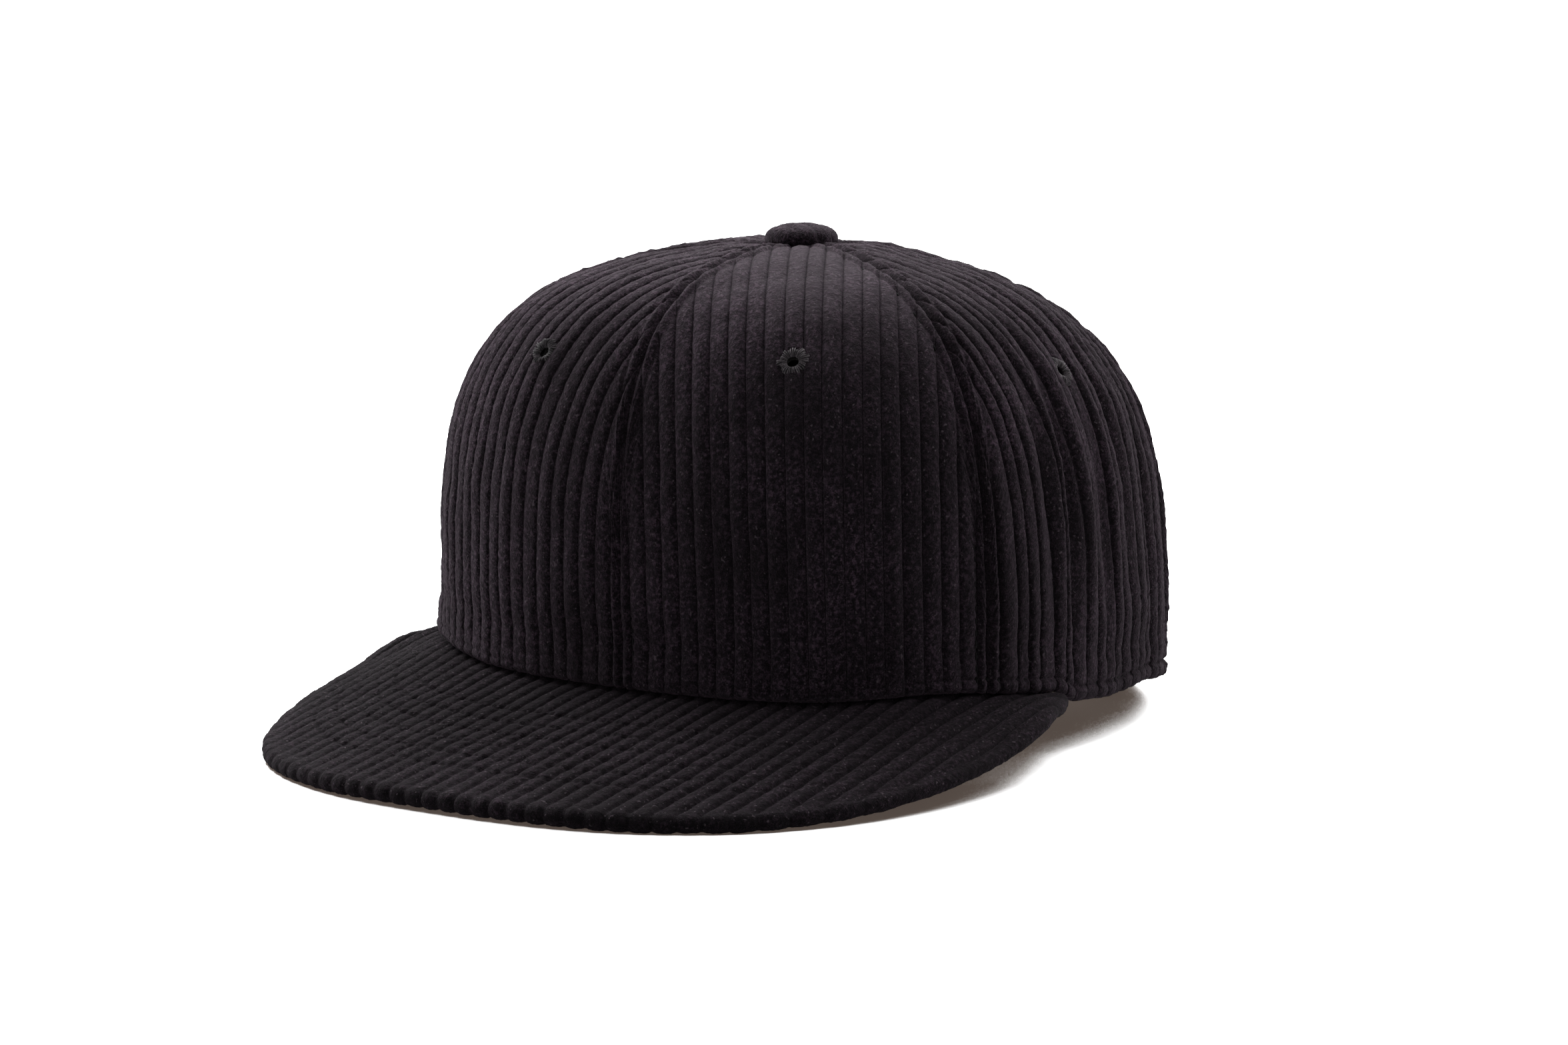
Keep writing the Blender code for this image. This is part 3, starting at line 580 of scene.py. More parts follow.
def woven_material(name, colour, thread=0.42 * MM, twill=True, sheen=0.10, roughness=0.88):
    """Woven cloth: crossing threads as waves of two directions, with slubs and uneven dye."""
    made = Material(name)
    waves = []
    for turn in ((0.0, 0.0, 0.9), (0.0, 0.9, -0.7)) if twill else ((0.0, 0.0, 0.0), (0.0, 1.571, 0.0)):
        turned = made.add("Mapping", {"Vector": made.coords, "Rotation": turn}).outputs["Vector"]
        inputs = {"Scale": 0.31 / thread, "Distortion": 0.8, "Detail": 1.0, "Detail Scale": 3.0}
        waves.append(made.add("TexWave", {"Vector": turned, **inputs}).outputs["Fac"])
    weave = made.maths("MAXIMUM", *waves)
    dye = made.ramp(made.noise(40, 2.0), (0.8, 0.8, 0.8), (1.2, 1.2, 1.2))
    tone = made.ramp(weave, times(colour, 0.55), times(colour, 1.35), (0.3, 0.9))
    return made.finished({
        "Base Color": made.mix(1.0, tone, dye, "MULTIPLY"),
        "Roughness": roughness,
        "Specular IOR Level": 0.25,
        "Sheen Weight": sheen,
        "Sheen Roughness": 0.5,
        "Normal": made.bump(made.maths("ADD", weave, made.noise(260, 3.0)), thread * 0.5, 0.7),
    })


def thread_material(name, colour, roughness):
    """Twisted thread, with painted shade down in the gaps between its turns."""
    made = Material(name)
    fibres = made.noise(2600, 2.0)
    tone = made.ramp(fibres, times(colour, 0.45), times(colour, 1.5))
    return made.finished({
        # Painted shade in the gaps, where the mesh's attribute says so.
        "Base Color": made.mix(made.cavity_shade(), tone, (0.0015, 0.0012, 0.0015)),
        "Roughness": roughness,
        "Specular IOR Level": 0.2,
        "Sheen Weight": 0.08,
        "Normal": made.bump(fibres, 0.12 * MM, 0.8),
    })


def moulded_material(name, colour, roughness):
    """Moulded plastic with a fine spark texture, faint flow marks and handling shine."""
    made = Material(name)
    wide = made.noise(22, 3.0)
    return made.finished({
        "Base Color": made.ramp(wide, times(colour, 0.8), times(colour, 1.25)),
        "Roughness": made.ramp(wide, (roughness - 0.08,) * 3, (roughness + 0.10,) * 3),
        "Normal": made.bump(made.noise(900, 3.0, 0.6), 0.06 * MM, 0.6),
    })


def metal_material(name, colour, roughness=0.32, wear=(0.75, 0.62, 0.40)):
    """Brushed metal with dark patina in patches and brighter rubbed spots."""
    made = Material(name)
    stretched = made.add("Mapping", {"Vector": made.coords, "Scale": (60, 60, 2200)}).outputs["Vector"]
    brushing = made.noise(1.0, 3.0, coords=stretched)
    patina = made.noise(330, 4.0, 0.6)
    tone = made.ramp(patina, times(colour, 0.45), colour, (0.38, 0.60))
    rubbed = made.ramp(patina, (0, 0, 0), (0.6, 0.6, 0.6), (0.58, 0.74))
    return made.finished({
        "Base Color": made.mix(rubbed, tone, wear),
        "Metallic": 1.0,
        "Roughness": made.ramp(brushing, (roughness - 0.06,) * 3, (roughness + 0.16,) * 3),
        "Normal": made.bump(brushing, 0.03 * MM, 0.4),
    })


def fastener_material(name, colour, size):
    """Hook or loop tape: a dense field of little bumps."""
    made = Material(name)
    cells = made.add("TexVoronoi", {"Vector": made.coords, "Scale": 1 / size}).outputs["Distance"]
    return made.finished({
        "Base Color": made.ramp(cells, times(colour, 2.2), colour, (0.1, 0.7)),
        "Roughness": 0.9,
        "Sheen Weight": 0.2,
        "Normal": made.bump(cells, -0.5 * MM, 0.9),
    })


def floor_material():
    """White paper with a painted shadow where the cap covers it. It bounces back less light than it shows."""
    made = Material("floor")
    ray = made.add("LightPath").outputs
    covered = made.add("AmbientOcclusion", {"Distance": FLOOR_SHADE_REACH}).outputs["AO"]
    # Painted shadow: where ambient occlusion says the cap covers the floor, the paper's colour and its glow
    # darken to beige.
    shade = made.ramp(covered, (0.095, 0.074, 0.062), (1.0, 1.0, 1.0), (0.335, 0.415))
    paper = made.ramp(made.noise(6), (0.93, 0.93, 0.93), (0.95, 0.95, 0.95))
    paper = made.mix(1.0, paper, shade, "MULTIPLY")
    return made.finished({
        "Base Color": made.mix(ray["Is Diffuse Ray"], paper, (0.30, 0.30, 0.30)),
        "Emission Color": shade,
        "Emission Strength": made.maths("MULTIPLY", ray["Is Camera Ray"], FLOOR_GLOW),
        "Roughness": 0.8,
        "Specular IOR Level": 0.1,
    })


FINISH = {
    "corduroy": corduroy_material(),
    # A darker copy of the corduroy with less sheen: painted shade on the visor, where the crown keeps off the
    # light from behind.
    "visor_corduroy": corduroy_material("visor_corduroy", 0.43, 0.05),
    "under_cloth": woven_material("under_cloth", (0.012, 0.011, 0.013), 0.45 * MM, twill=False),
    "stitching": thread_material("stitching", (0.0045, 0.0036, 0.0045), 0.9),
    "thread": thread_material("thread", (0.115, 0.100, 0.110), 0.7),
    "lining": woven_material("lining", (0.016, 0.015, 0.018), 0.50 * MM),
    "buckram": woven_material("buckram", (0.060, 0.058, 0.055), 0.95 * MM, twill=False),
    "visor_plastic": moulded_material("visor_plastic", (0.014, 0.013, 0.015), 0.60),
    "button_metal": metal_material("button_metal", (0.55, 0.56, 0.58), 0.35, (0.70, 0.71, 0.73)),
    "clasp_metal": metal_material("clasp_metal", (0.40, 0.29, 0.15)),
    "shell_plastic": moulded_material("shell_plastic", (0.022, 0.023, 0.026), 0.55),
    "foam": woven_material("foam", (0.022, 0.022, 0.026), 0.60 * MM, sheen=0.25, roughness=0.95),
    "hook_and_loop": fastener_material("hook_and_loop", (0.008, 0.008, 0.009), 0.7 * MM),
}


def finish(obj, body, finish_name, slot, *nodes):
    """Gives a piece its material, the body it rides on and the CAD nodes it stands for. Its slot is not used.
    """
    obj.data.materials.clear()
    obj.data.materials.append(FINISH[finish_name])
    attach(obj, body)
    if nodes:
        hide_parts(*nodes)


# ---------------------------------------------------------------- corduroy

def rope(phase):
    """The round section of a wale, 0 in the groove and 1 on its crest, by its place across in wales."""
    across = np.abs((np.asarray(phase) + 0.5) % 1.0 - 0.5) * 2
    return (1 - across ** 2.4) ** 0.55


def wale_columns(low, high):
    """Places across from low to high: each wale has points that crowd towards its grooves."""
    first, last = math.floor(low / WALE) - 1, math.ceil(high / WALE) + 1
    places = np.array([(k + p) * WALE for k in range(first, last + 1) for p in WALE_POINTS])
    return places[(places > low) & (places < high)]


# ---------------------------------------------------------------- crown panels

PANELS = ("front_left", "side_left", "back_left", "back_right", "side_right", "front_right")
SEAM_VALLEY = 0.95 * MM
SEAM_STITCH_AT = 3.3 * MM
HEM_STITCH_AT = 4.4 * MM
HEM_ROWS = (0.0, 0.25, 0.7, 1.3, 1.9, 2.4, 2.8, 3.2, 3.7, 4.1, 4.4, 4.7, 5.2, 5.9, 6.8, 8.0)
PANEL_ROWS = 112
# How strongly the wales stand out, how much painted shade their grooves get, and how much painted shade the
# gaps in the eyelet's thread get
RELIEF = (0.78, 1.3, 1.1, 1.0, 1.0, 0.84)
GROOVE_SHADE = (0.5, 0.75, 0.75, 0.75, 0.75, 0.6)
EYELET_SHADE = (0.0, 0.0, 0.0, 0.0, 0.0, 0.35)
REAR_PANELS = (2, 3)


def panel_middle(number):
    return (2 * number + 1) / 12


def eyelet_place(number):
    """Place round the crown and rise of a panel's eyelet."""
    return EYELET_PLACES.get(PANELS[number], (panel_middle(number), EYELET_RISE))


def hem_stitch(around):
    """Rise of the hem's stitching: it runs closest to the edge over the visor."""
    return HEM_STITCH_AT - 1.8 * MM * bell(from_front(around), 0, 0.17)


def beads(length):
    """The swelling of cloth between stitches, by length along their row."""
    return 0.75 + 0.25 * np.cos(2 * math.pi * length / STITCH)


def arch_share(points, margin=0.0):
    """How far out from the foot of the rear arch points are, where 1 is its edge less a margin."""
    return np.hypot(points[..., 0] / (ARCH_HALF_WIDTH - margin), points[..., 2] / (ARCH_HEIGHT - margin))


class Gore:
    """One panel's flat pattern: distance across from its centre line against place round, by share of rise."""

    def __init__(self, number):
        self.middle = panel_middle(number)
        self.shares = np.linspace(0, 1, 201)
        self.across = np.linspace(-1, 1, 65) / 12
        around = self.middle + self.across[None, :]
        rise = self.shares[:, None] * rise_to_pole(around)
        points = crown(around, rise)
        steps = np.linalg.norm(np.diff(points, axis=1), axis=2)
        width = np.concatenate([np.zeros((len(points), 1)), np.cumsum(steps, axis=1)], axis=1)
        self.width = width - width[:, 32:33]
        self.length = rise_to_pole(self.middle)

    def half(self, side):
        """The distance to the seam on one side, by share of rise."""
        return np.abs(self.width[:, 0 if side < 0 else -1])

    def widest_column(self, side):
        half = self.half(side)
        return half[: half.argmax() + 1].min() - 0.3 * MM

    def top_share(self, place):
        """The share of rise at which a column at this place meets its seam."""
        half = self.half(np.sign(place) or 1)
        peak = half.argmax()
        tip = 1 - PANEL_TIP / self.length
        return min(np.interp(-abs(place), -half[peak:], self.shares[peak:]), tip)

    def around(self, place, share):
        """The place round the crown of points at a distance across from the centre line."""
        row = np.clip(share, 0, 1) * (len(self.shares) - 1)
        low = np.minimum(row.astype(int), len(self.shares) - 2)
        part = row - low
        found = np.empty(np.shape(place))
        for k in np.ndindex(found.shape):
            line = self.width[low[k]] * (1 - part[k]) + self.width[low[k] + 1] * part[k]
            found[k] = np.interp(place[k], line, self.across)
        return self.middle + found

    def seam_distance(self, place, share):
        """Distance to the nearest seam, square to it."""
        found = np.full(np.shape(place), 1.0)
        for side in (-1, 1):
            half = self.half(side)
            slope = np.gradient(half, self.shares * self.length)
            away = np.interp(share, self.shares, half) - side * place
            found = np.minimum(found, away / np.sqrt(1 + np.interp(share, self.shares, slope) ** 2))
        return np.maximum(found, 0)


def panel_height(number, gore, phase, place, share, rise, around, points):
    """How far the pile stands above the crown's surface, and how deep in a groove each point is, as the amount
    of painted shade it gets.
    """
    seam = gore.seam_distance(place, share)
    away = from_front(around)
    crest = rope(phase)
    relief = RELIEF[number] * (1 + 0.16 * value_noise(points, 18 * MM, 3))
    relief = relief * (0.45 + 0.55 * smooth_step(seam, 0.4 * MM, 2.6 * MM))
    relief = relief * (0.55 + 0.45 * smooth_step(rise, 4.5 * MM, 9 * MM))
    wale_by_wale = np.stack([phase, rise / (45 * MM), np.full(phase.shape, number)], axis=-1)
    uneven = value_noise(wale_by_wale, 1.0, 7) * smooth_step(seam, 3 * MM, 8 * MM)
    height = WALE_BASE + WALE_HEIGHT * crest * relief + 0.32 * MM * RELIEF[number] * uneven
    # Each seam is a valley between two stitched rows, pressed flatter low on the front seam
    pressed = 1 - 0.55 * bell(away, 0, 0.035) * smooth_step(share, 0.9, 0.7)
    valley = pressed * bell(seam, 0, 0.6 * MM)
    stitched = pressed * bell(seam, SEAM_STITCH_AT, 0.6 * MM) * beads(rise)
    swell = bell(seam, 1.6 * MM, 1.0 * MM) * beads(rise)
    height = height - SEAM_VALLEY * valley + 0.75 * MM * (swell - stitched)
    # The hem is padded below its stitching and rolled in at its edge
    sewn = bell(rise, hem_stitch(around), 0.55 * MM) * beads(around * HEM_LENGTH)
    sewn = sewn * (1 - 0.55 * bell(away, 0, 0.16))
    height = height - 0.95 * MM * sewn + 0.45 * MM * bell(rise, 2.6 * MM, 2.0 * MM)
    height = height - 1.0 * MM * bell(rise, 0, 0.6 * MM)
    # Pile and wear
    height = height + 0.13 * MM * jitter(place.shape, 11 + number) * (crest > 0.3)
    height = height + 0.12 * MM * value_noise(points, 1.6 * MM, 17)
    height = height + 0.40 * MM * value_noise(points, 11 * MM, 19)
    below_pole = rise_to_pole(around) - rise
    height = height + 1.0 * MM * bell(below_pole, 20 * MM, 11 * MM) - 0.5 * MM * bell(rise, 12 * MM, 4 * MM)
    if number in REAR_PANELS:
        inwards = ARCH_HALF_WIDTH * (1 - arch_share(points))
        height = height - (height + 0.8 * MM) * smooth_step(inwards, -1.0 * MM, 0.4 * MM)
    # Painted shade: darker down in the grooves, the seam valleys and the stitched dents.
    cavity_shade = GROOVE_SHADE[number] * (1 - crest) ** 1.4 + 0.35 * (valley + sewn) + 0.3 * stitched
    return height + folds(around, rise), np.clip(cavity_shade, 0, 0.92)


def panel(number):
    gore = Gore(number)
    left, right = gore.widest_column(-1), gore.widest_column(1)
    inside = wale_columns(-left, right)
    phase = np.concatenate([[-left - 0.3 * MM], inside, [right + 0.3 * MM]]) / WALE
    by_panel = np.full(phase.shape, number + 0.5)
    wander = value_noise(np.stack([phase / 1.7, by_panel, np.zeros(phase.shape)], axis=-1), 1.0, 59)
    calm = smooth_step(np.minimum(phase * WALE + left, right - phase * WALE), 2 * MM, 12 * MM)
    place = phase * WALE + WALE_WANDER * RELIEF[number] ** 2 * wander * calm
    tops = np.array([gore.top_share(p) for p in place])
    tops[0], tops[-1] = tops[1], tops[-2]
    low = np.array(HEM_ROWS) * MM
    part = np.linspace(0, 1, PANEL_ROWS + 1)[1:]
    length = gore.length
    rows = np.concatenate([np.repeat(low[:, None], len(place), axis=1),
                           low[-1] + part[:, None] * (tops * length - low[-1])[None, :]])
    share = rows / length
    place = np.broadcast_to(place, share.shape)
    phase = np.broadcast_to(phase, share.shape)
    around = gore.around(place, share)
    around[:, 0] = gore.middle - 1 / 12
    around[:, -1] = gore.middle + 1 / 12
    rise = share * rise_to_pole(around)
    points = crown(around, rise)
    normal = crown_normal(around, rise)
    height, cavity_shade = panel_height(number, gore, phase, place, share, rise, around, points)
    outer = points + normal * height[..., None]
    inner = points - normal * (CLOTH - folds(around, rise))[..., None]
    carve_panel(number, outer, inner, cavity_shade)


def carve_panel(number, outer, inner, cavity_shade):
    """Makes the panel's closed mesh, less its eyelet hole and, at the back, the arch."""
    rows, columns = cavity_shade.shape
    middle = (outer[:-1, :-1] + outer[1:, :-1] + outer[:-1, 1:] + outer[1:, 1:]) / 4
    apart = np.linalg.norm(middle - crown(*eyelet_place(number)), axis=-1)
    keep = apart > (EYELET_RADIUS + EYELET_HOLE) / 2
    if number in REAR_PANELS:
        keep &= arch_share(middle, 1.6 * MM) > 1
    count = rows * columns
    top = quads(rows, columns)[keep.ravel()]
    faces = [top, top[:, ::-1] + count]
    ends = np.concatenate([top[:, [0, 1]], top[:, [1, 2]], top[:, [2, 3]], top[:, [3, 0]]])
    key = ends.min(axis=1).astype(np.int64) * count + ends.max(axis=1)
    _, first, times = np.unique(key, return_index=True, return_counts=True)
    edge = ends[first[times == 1]]
    faces.append(np.stack([edge[:, 1], edge[:, 0], edge[:, 0] + count, edge[:, 1] + count], axis=-1))
    faces = np.concatenate(faces)
    points = np.concatenate([outer.reshape(-1, 3), inner.reshape(-1, 3)])
    used, faces = np.unique(faces, return_inverse=True)
    faces = faces.reshape(-1, 4)
    # Painted shade: the grooves' amount on the outer face and a flat 0.35 on the inner face.
    shade = np.concatenate([cavity_shade.ravel(), np.full(count, 0.35)])
    obj = make_object(PANELS[number] + "_corduroy", points[used], faces, attributes={"cavity_shade": shade[used]})
    finish(obj, "cap", "corduroy", "corduroy", PANELS[number] + "_panel")


# ---------------------------------------------------------------- stitches

def stitches(name, routes, body, sink=0.35 * MM):
    """Thread along routes of points with normals: each stitch arches out of the cloth and dives back in."""
    sides, rings = 6, 7
    along = np.linspace(-0.5, 0.5, rings)
    lift = -sink * (2 * along[:, None]) ** 2
    thick = THREAD * np.sqrt(np.maximum(1 - (2 * along) ** 6, 0.04))
    points = []
    for route, normals in routes:
        far = by_length(route)
        for k in range(int(far[-1] / STITCH)):
            at = (k + 0.5 + along * STITCH_FILL) * STITCH
            centre = np.stack([np.interp(at, far, route[:, c]) for c in range(3)], axis=1)
            normal = np.stack([np.interp(at, far, normals[:, c]) for c in range(3)], axis=1)
            normal /= np.linalg.norm(normal, axis=1, keepdims=True)
            tangent = centre[-1] - centre[0]
            tangent /= np.linalg.norm(tangent)
            points.append(rod_points(centre + normal * lift, np.cross(tangent, normal), normal, thick, sides))
    faces = np.concatenate([rod_faces(rings, sides) + k * rings * sides for k in range(len(points))])
    obj = make_object(name, np.concatenate(points), faces)
    finish(obj, body, "stitching", "thread")


def seam_routes():
    """Two rows of topstitching beside each seam."""
    routes = []
    for number in range(6):
        gore = Gore(number)
        share = np.linspace(0.01, 0.965, 160)
        for side in (-1, 1):
            half = gore.half(side)
            slope = np.interp(share, gore.shares, np.gradient(half, gore.shares * gore.length))
            place = side * (np.interp(share, gore.shares, half) - SEAM_STITCH_AT * np.sqrt(1 + slope ** 2))
            around = gore.around(place, share)
            rise = share * rise_to_pole(around)
            point = crown(around, rise)
            keep = side * place > 1.0 * MM
            if number in REAR_PANELS:
                keep &= np.hypot(point[:, 0] / ARCH_HALF_WIDTH, point[:, 2] / (ARCH_HEIGHT + 2 * MM)) > 1
            normal = crown_normal(around, rise)
            raised = point + normal * (folds(around, rise) - 0.75 * MM)[:, None]
            routes.append((raised[keep], normal[keep]))
    return routes


def hem_route():
    start = 0.5 - (ARCH_HALF_WIDTH + 1 * MM) / HEM_LENGTH
    around = np.linspace(-start, start, 900)
    rise = hem_stitch(around)
    normal = crown_normal(around, rise)
    return [(crown(around, rise) + normal * (folds(around, rise) - 0.85 * MM)[:, None], normal)]


# ---------------------------------------------------------------- eyelets and button

def eyelet(number):
    """Buttonhole stitching round a hole: radial threads over a padded ring."""
    threads, columns = 34, 6
    around = threads * columns
    turn = np.arange(around) / around * 2 * math.pi
    section = np.arange(14) / 14 * 2 * math.pi
    strand = np.abs(np.cos(turn * threads / 2))
    ragged = np.repeat(jitter(threads, 40 + number), columns) * 0.8 * MM - 0.35 * MM
    loose = 1 + 0.35 * np.repeat(jitter(threads, 80 + number), columns)
    middle = (EYELET_HOLE + EYELET_RADIUS) / 2
    half = (EYELET_RADIUS - EYELET_HOLE) / 2
    outward = np.cos(section)[:, None]
    r = middle + half * outward + ragged[None, :] * (outward > 0.5)
    z = 0.95 * MM * np.sin(section)[:, None] * (0.30 + 0.70 * strand * loose)[None, :] - 0.30 * MM
    place = np.array(facing(*eyelet_place(number)))
    points = np.stack([r * np.cos(turn), r * np.sin(turn), z], axis=-1) @ place[:3, :3].T + place[:3, 3]
    faces = quads(len(section) + 1, around, wrap=True) % r.size
    # Painted shade in the gaps between the threads, uneven from thread to thread and deeper on the front-right
    # eyelet.
    gap = (1 - strand) ** 0.6 + 0.45 * np.repeat(jitter(threads, 90 + number), columns) + EYELET_SHADE[number]
    gap = np.broadcast_to(np.clip(gap, 0, 1), r.shape)
    name = PANELS[number] + "_eyelet"
    obj = make_object(name + "_stitching", points.reshape(-1, 3), faces[:, ::-1], {"cavity_shade": gap})
    finish(obj, "cap", "thread", "thread", name)


def button():
    """The covered button: wales run across it, and the cloth is gathered in under its edge."""
    around, rings = 144, 40
    turn = np.arange(around) / around * 2 * math.pi
    down = np.linspace(0.0, 1.0, rings)[:, None]
    angle = down * math.radians(128)
    belt = 0.30 * BUTTON_HEIGHT
    r = BUTTON_RADIUS * np.sin(np.minimum(angle, math.pi / 2)) ** 0.88
    r = r - 1.6 * MM * np.maximum(-np.cos(angle), 0)
    z = np.where(angle < math.pi / 2, belt + (BUTTON_HEIGHT - belt) * np.abs(np.cos(angle)) ** 0.80,
                 belt + (BUTTON_HEIGHT * 0.42) * np.cos(angle))
    pole = crown(0.0, rise_to_pole(0.0))
    lean = math.radians(62)
    x, y = r * np.cos(turn), r * np.sin(turn)
    across = x * math.cos(lean) + y * math.sin(lean)
    crest = rope(across / WALE + 0.5)
    puff = 0.28 * MM * np.cos(turn * 9)[None, :] * smooth_step(down, 0.55, 0.9)
    lift = -0.45 * MM + 0.45 * MM * crest + puff + 0.10 * MM * jitter((rings, around), 61)
    normal = np.stack([np.sin(angle) * np.cos(turn), np.sin(angle) * np.sin(turn),
                       np.cos(angle) * np.ones_like(turn)], axis=-1)
    base = np.stack([x, y, z * np.ones_like(turn) - 0.4 * MM], axis=-1)
    outer = pole + base + normal * lift[..., None]
    inner = pole + base * np.array([0.88, 0.88, 1.0]) + normal * -1.15 * MM * np.array([0.3, 0.3, 1.0])
    # Painted shade down in the grooves between the wales.
    cavity_shade = np.clip(0.6 * (1 - crest) ** 1.4, 0, 0.9)
    obj = slab("button_corduroy", outer[::-1], inner[::-1], wrap=True, attributes={"cavity_shade": cavity_shade[::-1]})
    finish(obj, "cap", "corduroy", "corduroy", "button_cover")


# ---------------------------------------------------------------- visor

def visor_outline():
    turn = np.linspace(-math.pi / 2 - VISOR_TAIL_TURN, math.pi / 2 + VISOR_TAIL_TURN, 2401)
    power = 2 / VISOR_SQUARENESS
    ahead = np.cos(turn)
    reach = np.where(ahead >= 0, VISOR_LENGTH, VISOR_TAIL)
    x = VISOR_HALF_WIDTH * signed_power(np.sin(turn), power)
    y = CROWN_Y + VISOR_ROOT - reach * signed_power(ahead, power)
    back = np.maximum(y - CROWN_Y - VISOR_TAPER_FROM, 0)
    x = x - np.sign(x) * VISOR_TAPER * back ** 2 / (back + VISOR_TAPER_EASE)
    points = np.stack([x, y], axis=1)
    return points, by_length(points)


VISOR_POINTS, VISOR_LENGTHS = visor_outline()
VISOR_ROUND = 2.05 * MM
VISOR_SEAM = 0.9 * MM
# Rows of stitching, by share of the way out to the edge
VISOR_STITCH_ROWS = (0.30, 0.40, 0.50, 0.60, 0.70, 0.80)


def visor_edge(across):
    """Outline points with their inward directions."""
    at = np.asarray(across) * VISOR_LENGTHS[-1]
    spots = [np.stack([np.interp(at + shift * MM, VISOR_LENGTHS, VISOR_POINTS[:, k]) for k in (0, 1)], axis=-1)
             for shift in (-0.5, 0, 0.5)]
    along = spots[2] - spots[0]
    inward = np.stack([-along[..., 1], along[..., 0]], axis=-1)
    return spots[1], inward / np.linalg.norm(inward, axis=-1, keepdims=True)


def visor_plan(across, out, trim):
    """Plan of a visor layer, from 0 to 1 across and out, that stops a trim short of the outline."""
    inner = under_crown(VISOR_REACH * (2 * across - 1), np.zeros_like(across), VISOR_TUCK)[..., :2]
    edge, inward = visor_edge(across)
    return inner + (edge + inward * trim - inner) * out[..., None]


def visor_height(across, out):
    edge, _ = visor_edge(across)
    sewn = hem_height(VISOR_REACH * (2 * across - 1)) - 2 * GAP
    ahead = CROWN_Y + VISOR_ROOT - edge[..., 1]
    reach = np.maximum(ahead, 0)
    side = np.maximum(np.abs(edge[..., 0]) - VISOR_FLAT, 0)
    low = VISOR_HEIGHT - VISOR_DROP * reach + VISOR_UPTURN * reach ** 2 - VISOR_CROWNING * side ** 2
    low = sewn + (low - sewn) * smooth_step(ahead, *VISOR_BLEND)
    return sewn + (low - sewn) * out


def visor_top():
    """The corduroy top cover. Its wales run front to back, and it wraps round the edge to the underside."""
    columns, wrapped, tucked = 620, 12, 3
    steps = np.concatenate([[0, 0.006, 0.012, 0.018, 0.024, 0.032], np.linspace(0.04, 1, 100)])
    across = np.broadcast_to(np.linspace(0, 1, columns), (len(steps), columns))
    out = np.broadcast_to(steps[:, None], across.shape)
    plan = visor_plan(across, out, VISOR_ROUND)
    z = visor_height(across, out) + 2.6 * MM * smooth_step(out, 0.024, 0.0)
    flat = np.concatenate([plan, z[..., None]], axis=-1)
    _, inward = visor_edge(across[0])
    outward = np.concatenate([-inward, np.zeros((columns, 1))], axis=1)
    bend = np.linspace(0, math.pi, wrapped + 1)[1:, None, None]
    centre = flat[-1] - np.array([0, 0, VISOR_ROUND])
    curl_normal = outward * np.sin(bend) + np.array([0, 0, 1.0]) * np.cos(bend)
    curl = centre + curl_normal * VISOR_ROUND
    under = curl[-1] - outward * np.linspace(0, 1, tucked + 1)[1:, None, None] * 3.0 * MM
    base = np.concatenate([flat, curl, under])
    normal = np.concatenate([surface_normals(flat), curl_normal, np.broadcast_to([0, 0, -1.0], under.shape)])
    x = np.concatenate([plan[..., 0], np.repeat(plan[-1:, :, 0], wrapped + tucked, axis=0)])
    crest = rope(x / WALE + 0.5)
    far = np.concatenate([out, np.ones((wrapped + tucked, columns))])
    thread = visor_thread(far, across[0], inward, plan[0, :, 0])
    round_edge = np.concatenate([np.zeros(len(steps)), np.linspace(0, 1, wrapped), np.ones(tucked)])[:, None]
    round_edge = np.maximum(round_edge, smooth_step(far, 0.93, 1.0) * 0.5)
    relief = 1.3 * (1 + 0.12 * value_noise(base, 15 * MM, 23)) * (1 - 0.55 * round_edge)
    relief = relief * (1 - smooth_step(far, 0.90, 1.0) * (1 - np.abs(inward[:, 1])) * 0.9)
    height = WALE_BASE + WALE_HEIGHT * crest * relief
    height = height - 0.85 * MM * thread - 0.3 * MM * smooth_step(far, 0.09, 0.02)
    height = height + 0.75 * MM * round_edge - 0.55 * MM * np.clip(round_edge * 2 - 1, 0, 1)
    height = height + 0.09 * MM * jitter(far.shape, 29) * (crest > 0.3)
    height = height + 0.12 * MM * value_noise(base, 1.6 * MM, 31) + 0.25 * MM * value_noise(base, 12 * MM, 37)
    outer = base + normal * height[..., None]
    inner = np.concatenate([flat - surface_normals(flat) * 1.05 * MM,
                            centre + curl_normal * (VISOR_ROUND - 0.95 * MM),
                            under + np.array([0, 0, 0.95 * MM])])
    # Painted shade down in the grooves and where the stitching pulls the cloth down.
    cavity_shade = np.clip((1 - crest) ** 0.95 + 0.7 * thread, 0, 0.93)
    obj = slab("visor_corduroy", outer[::-1], inner[::-1], attributes={"cavity_shade": cavity_shade[::-1]})
    finish(obj, "cap", "visor_corduroy", "corduroy", "visor_top_cover")
    visor_stitching("visor_top_stitching", VISOR_ROUND, 0.55 * MM, 1.0, 0.5 * MM)


def visor_thread(far, across, inward, x):
    """How hard the rows of stitching pull the top cover down: hardest where they cross the wales."""
    pull = np.zeros(far.shape)
    for number, row in enumerate(VISOR_STITCH_ROWS):
        along = across * VISOR_LENGTHS[-1] / STITCH + number * 0.37
        pull = np.maximum(pull, bell(far, row, 0.0095) * (0.62 + 0.38 * np.cos(2 * math.pi * along)))
    return pull * (0.35 + 0.65 * np.abs(inward[:, 1])) * (1 - 0.5 * smooth_step(x, 20 * MM, 80 * MM))


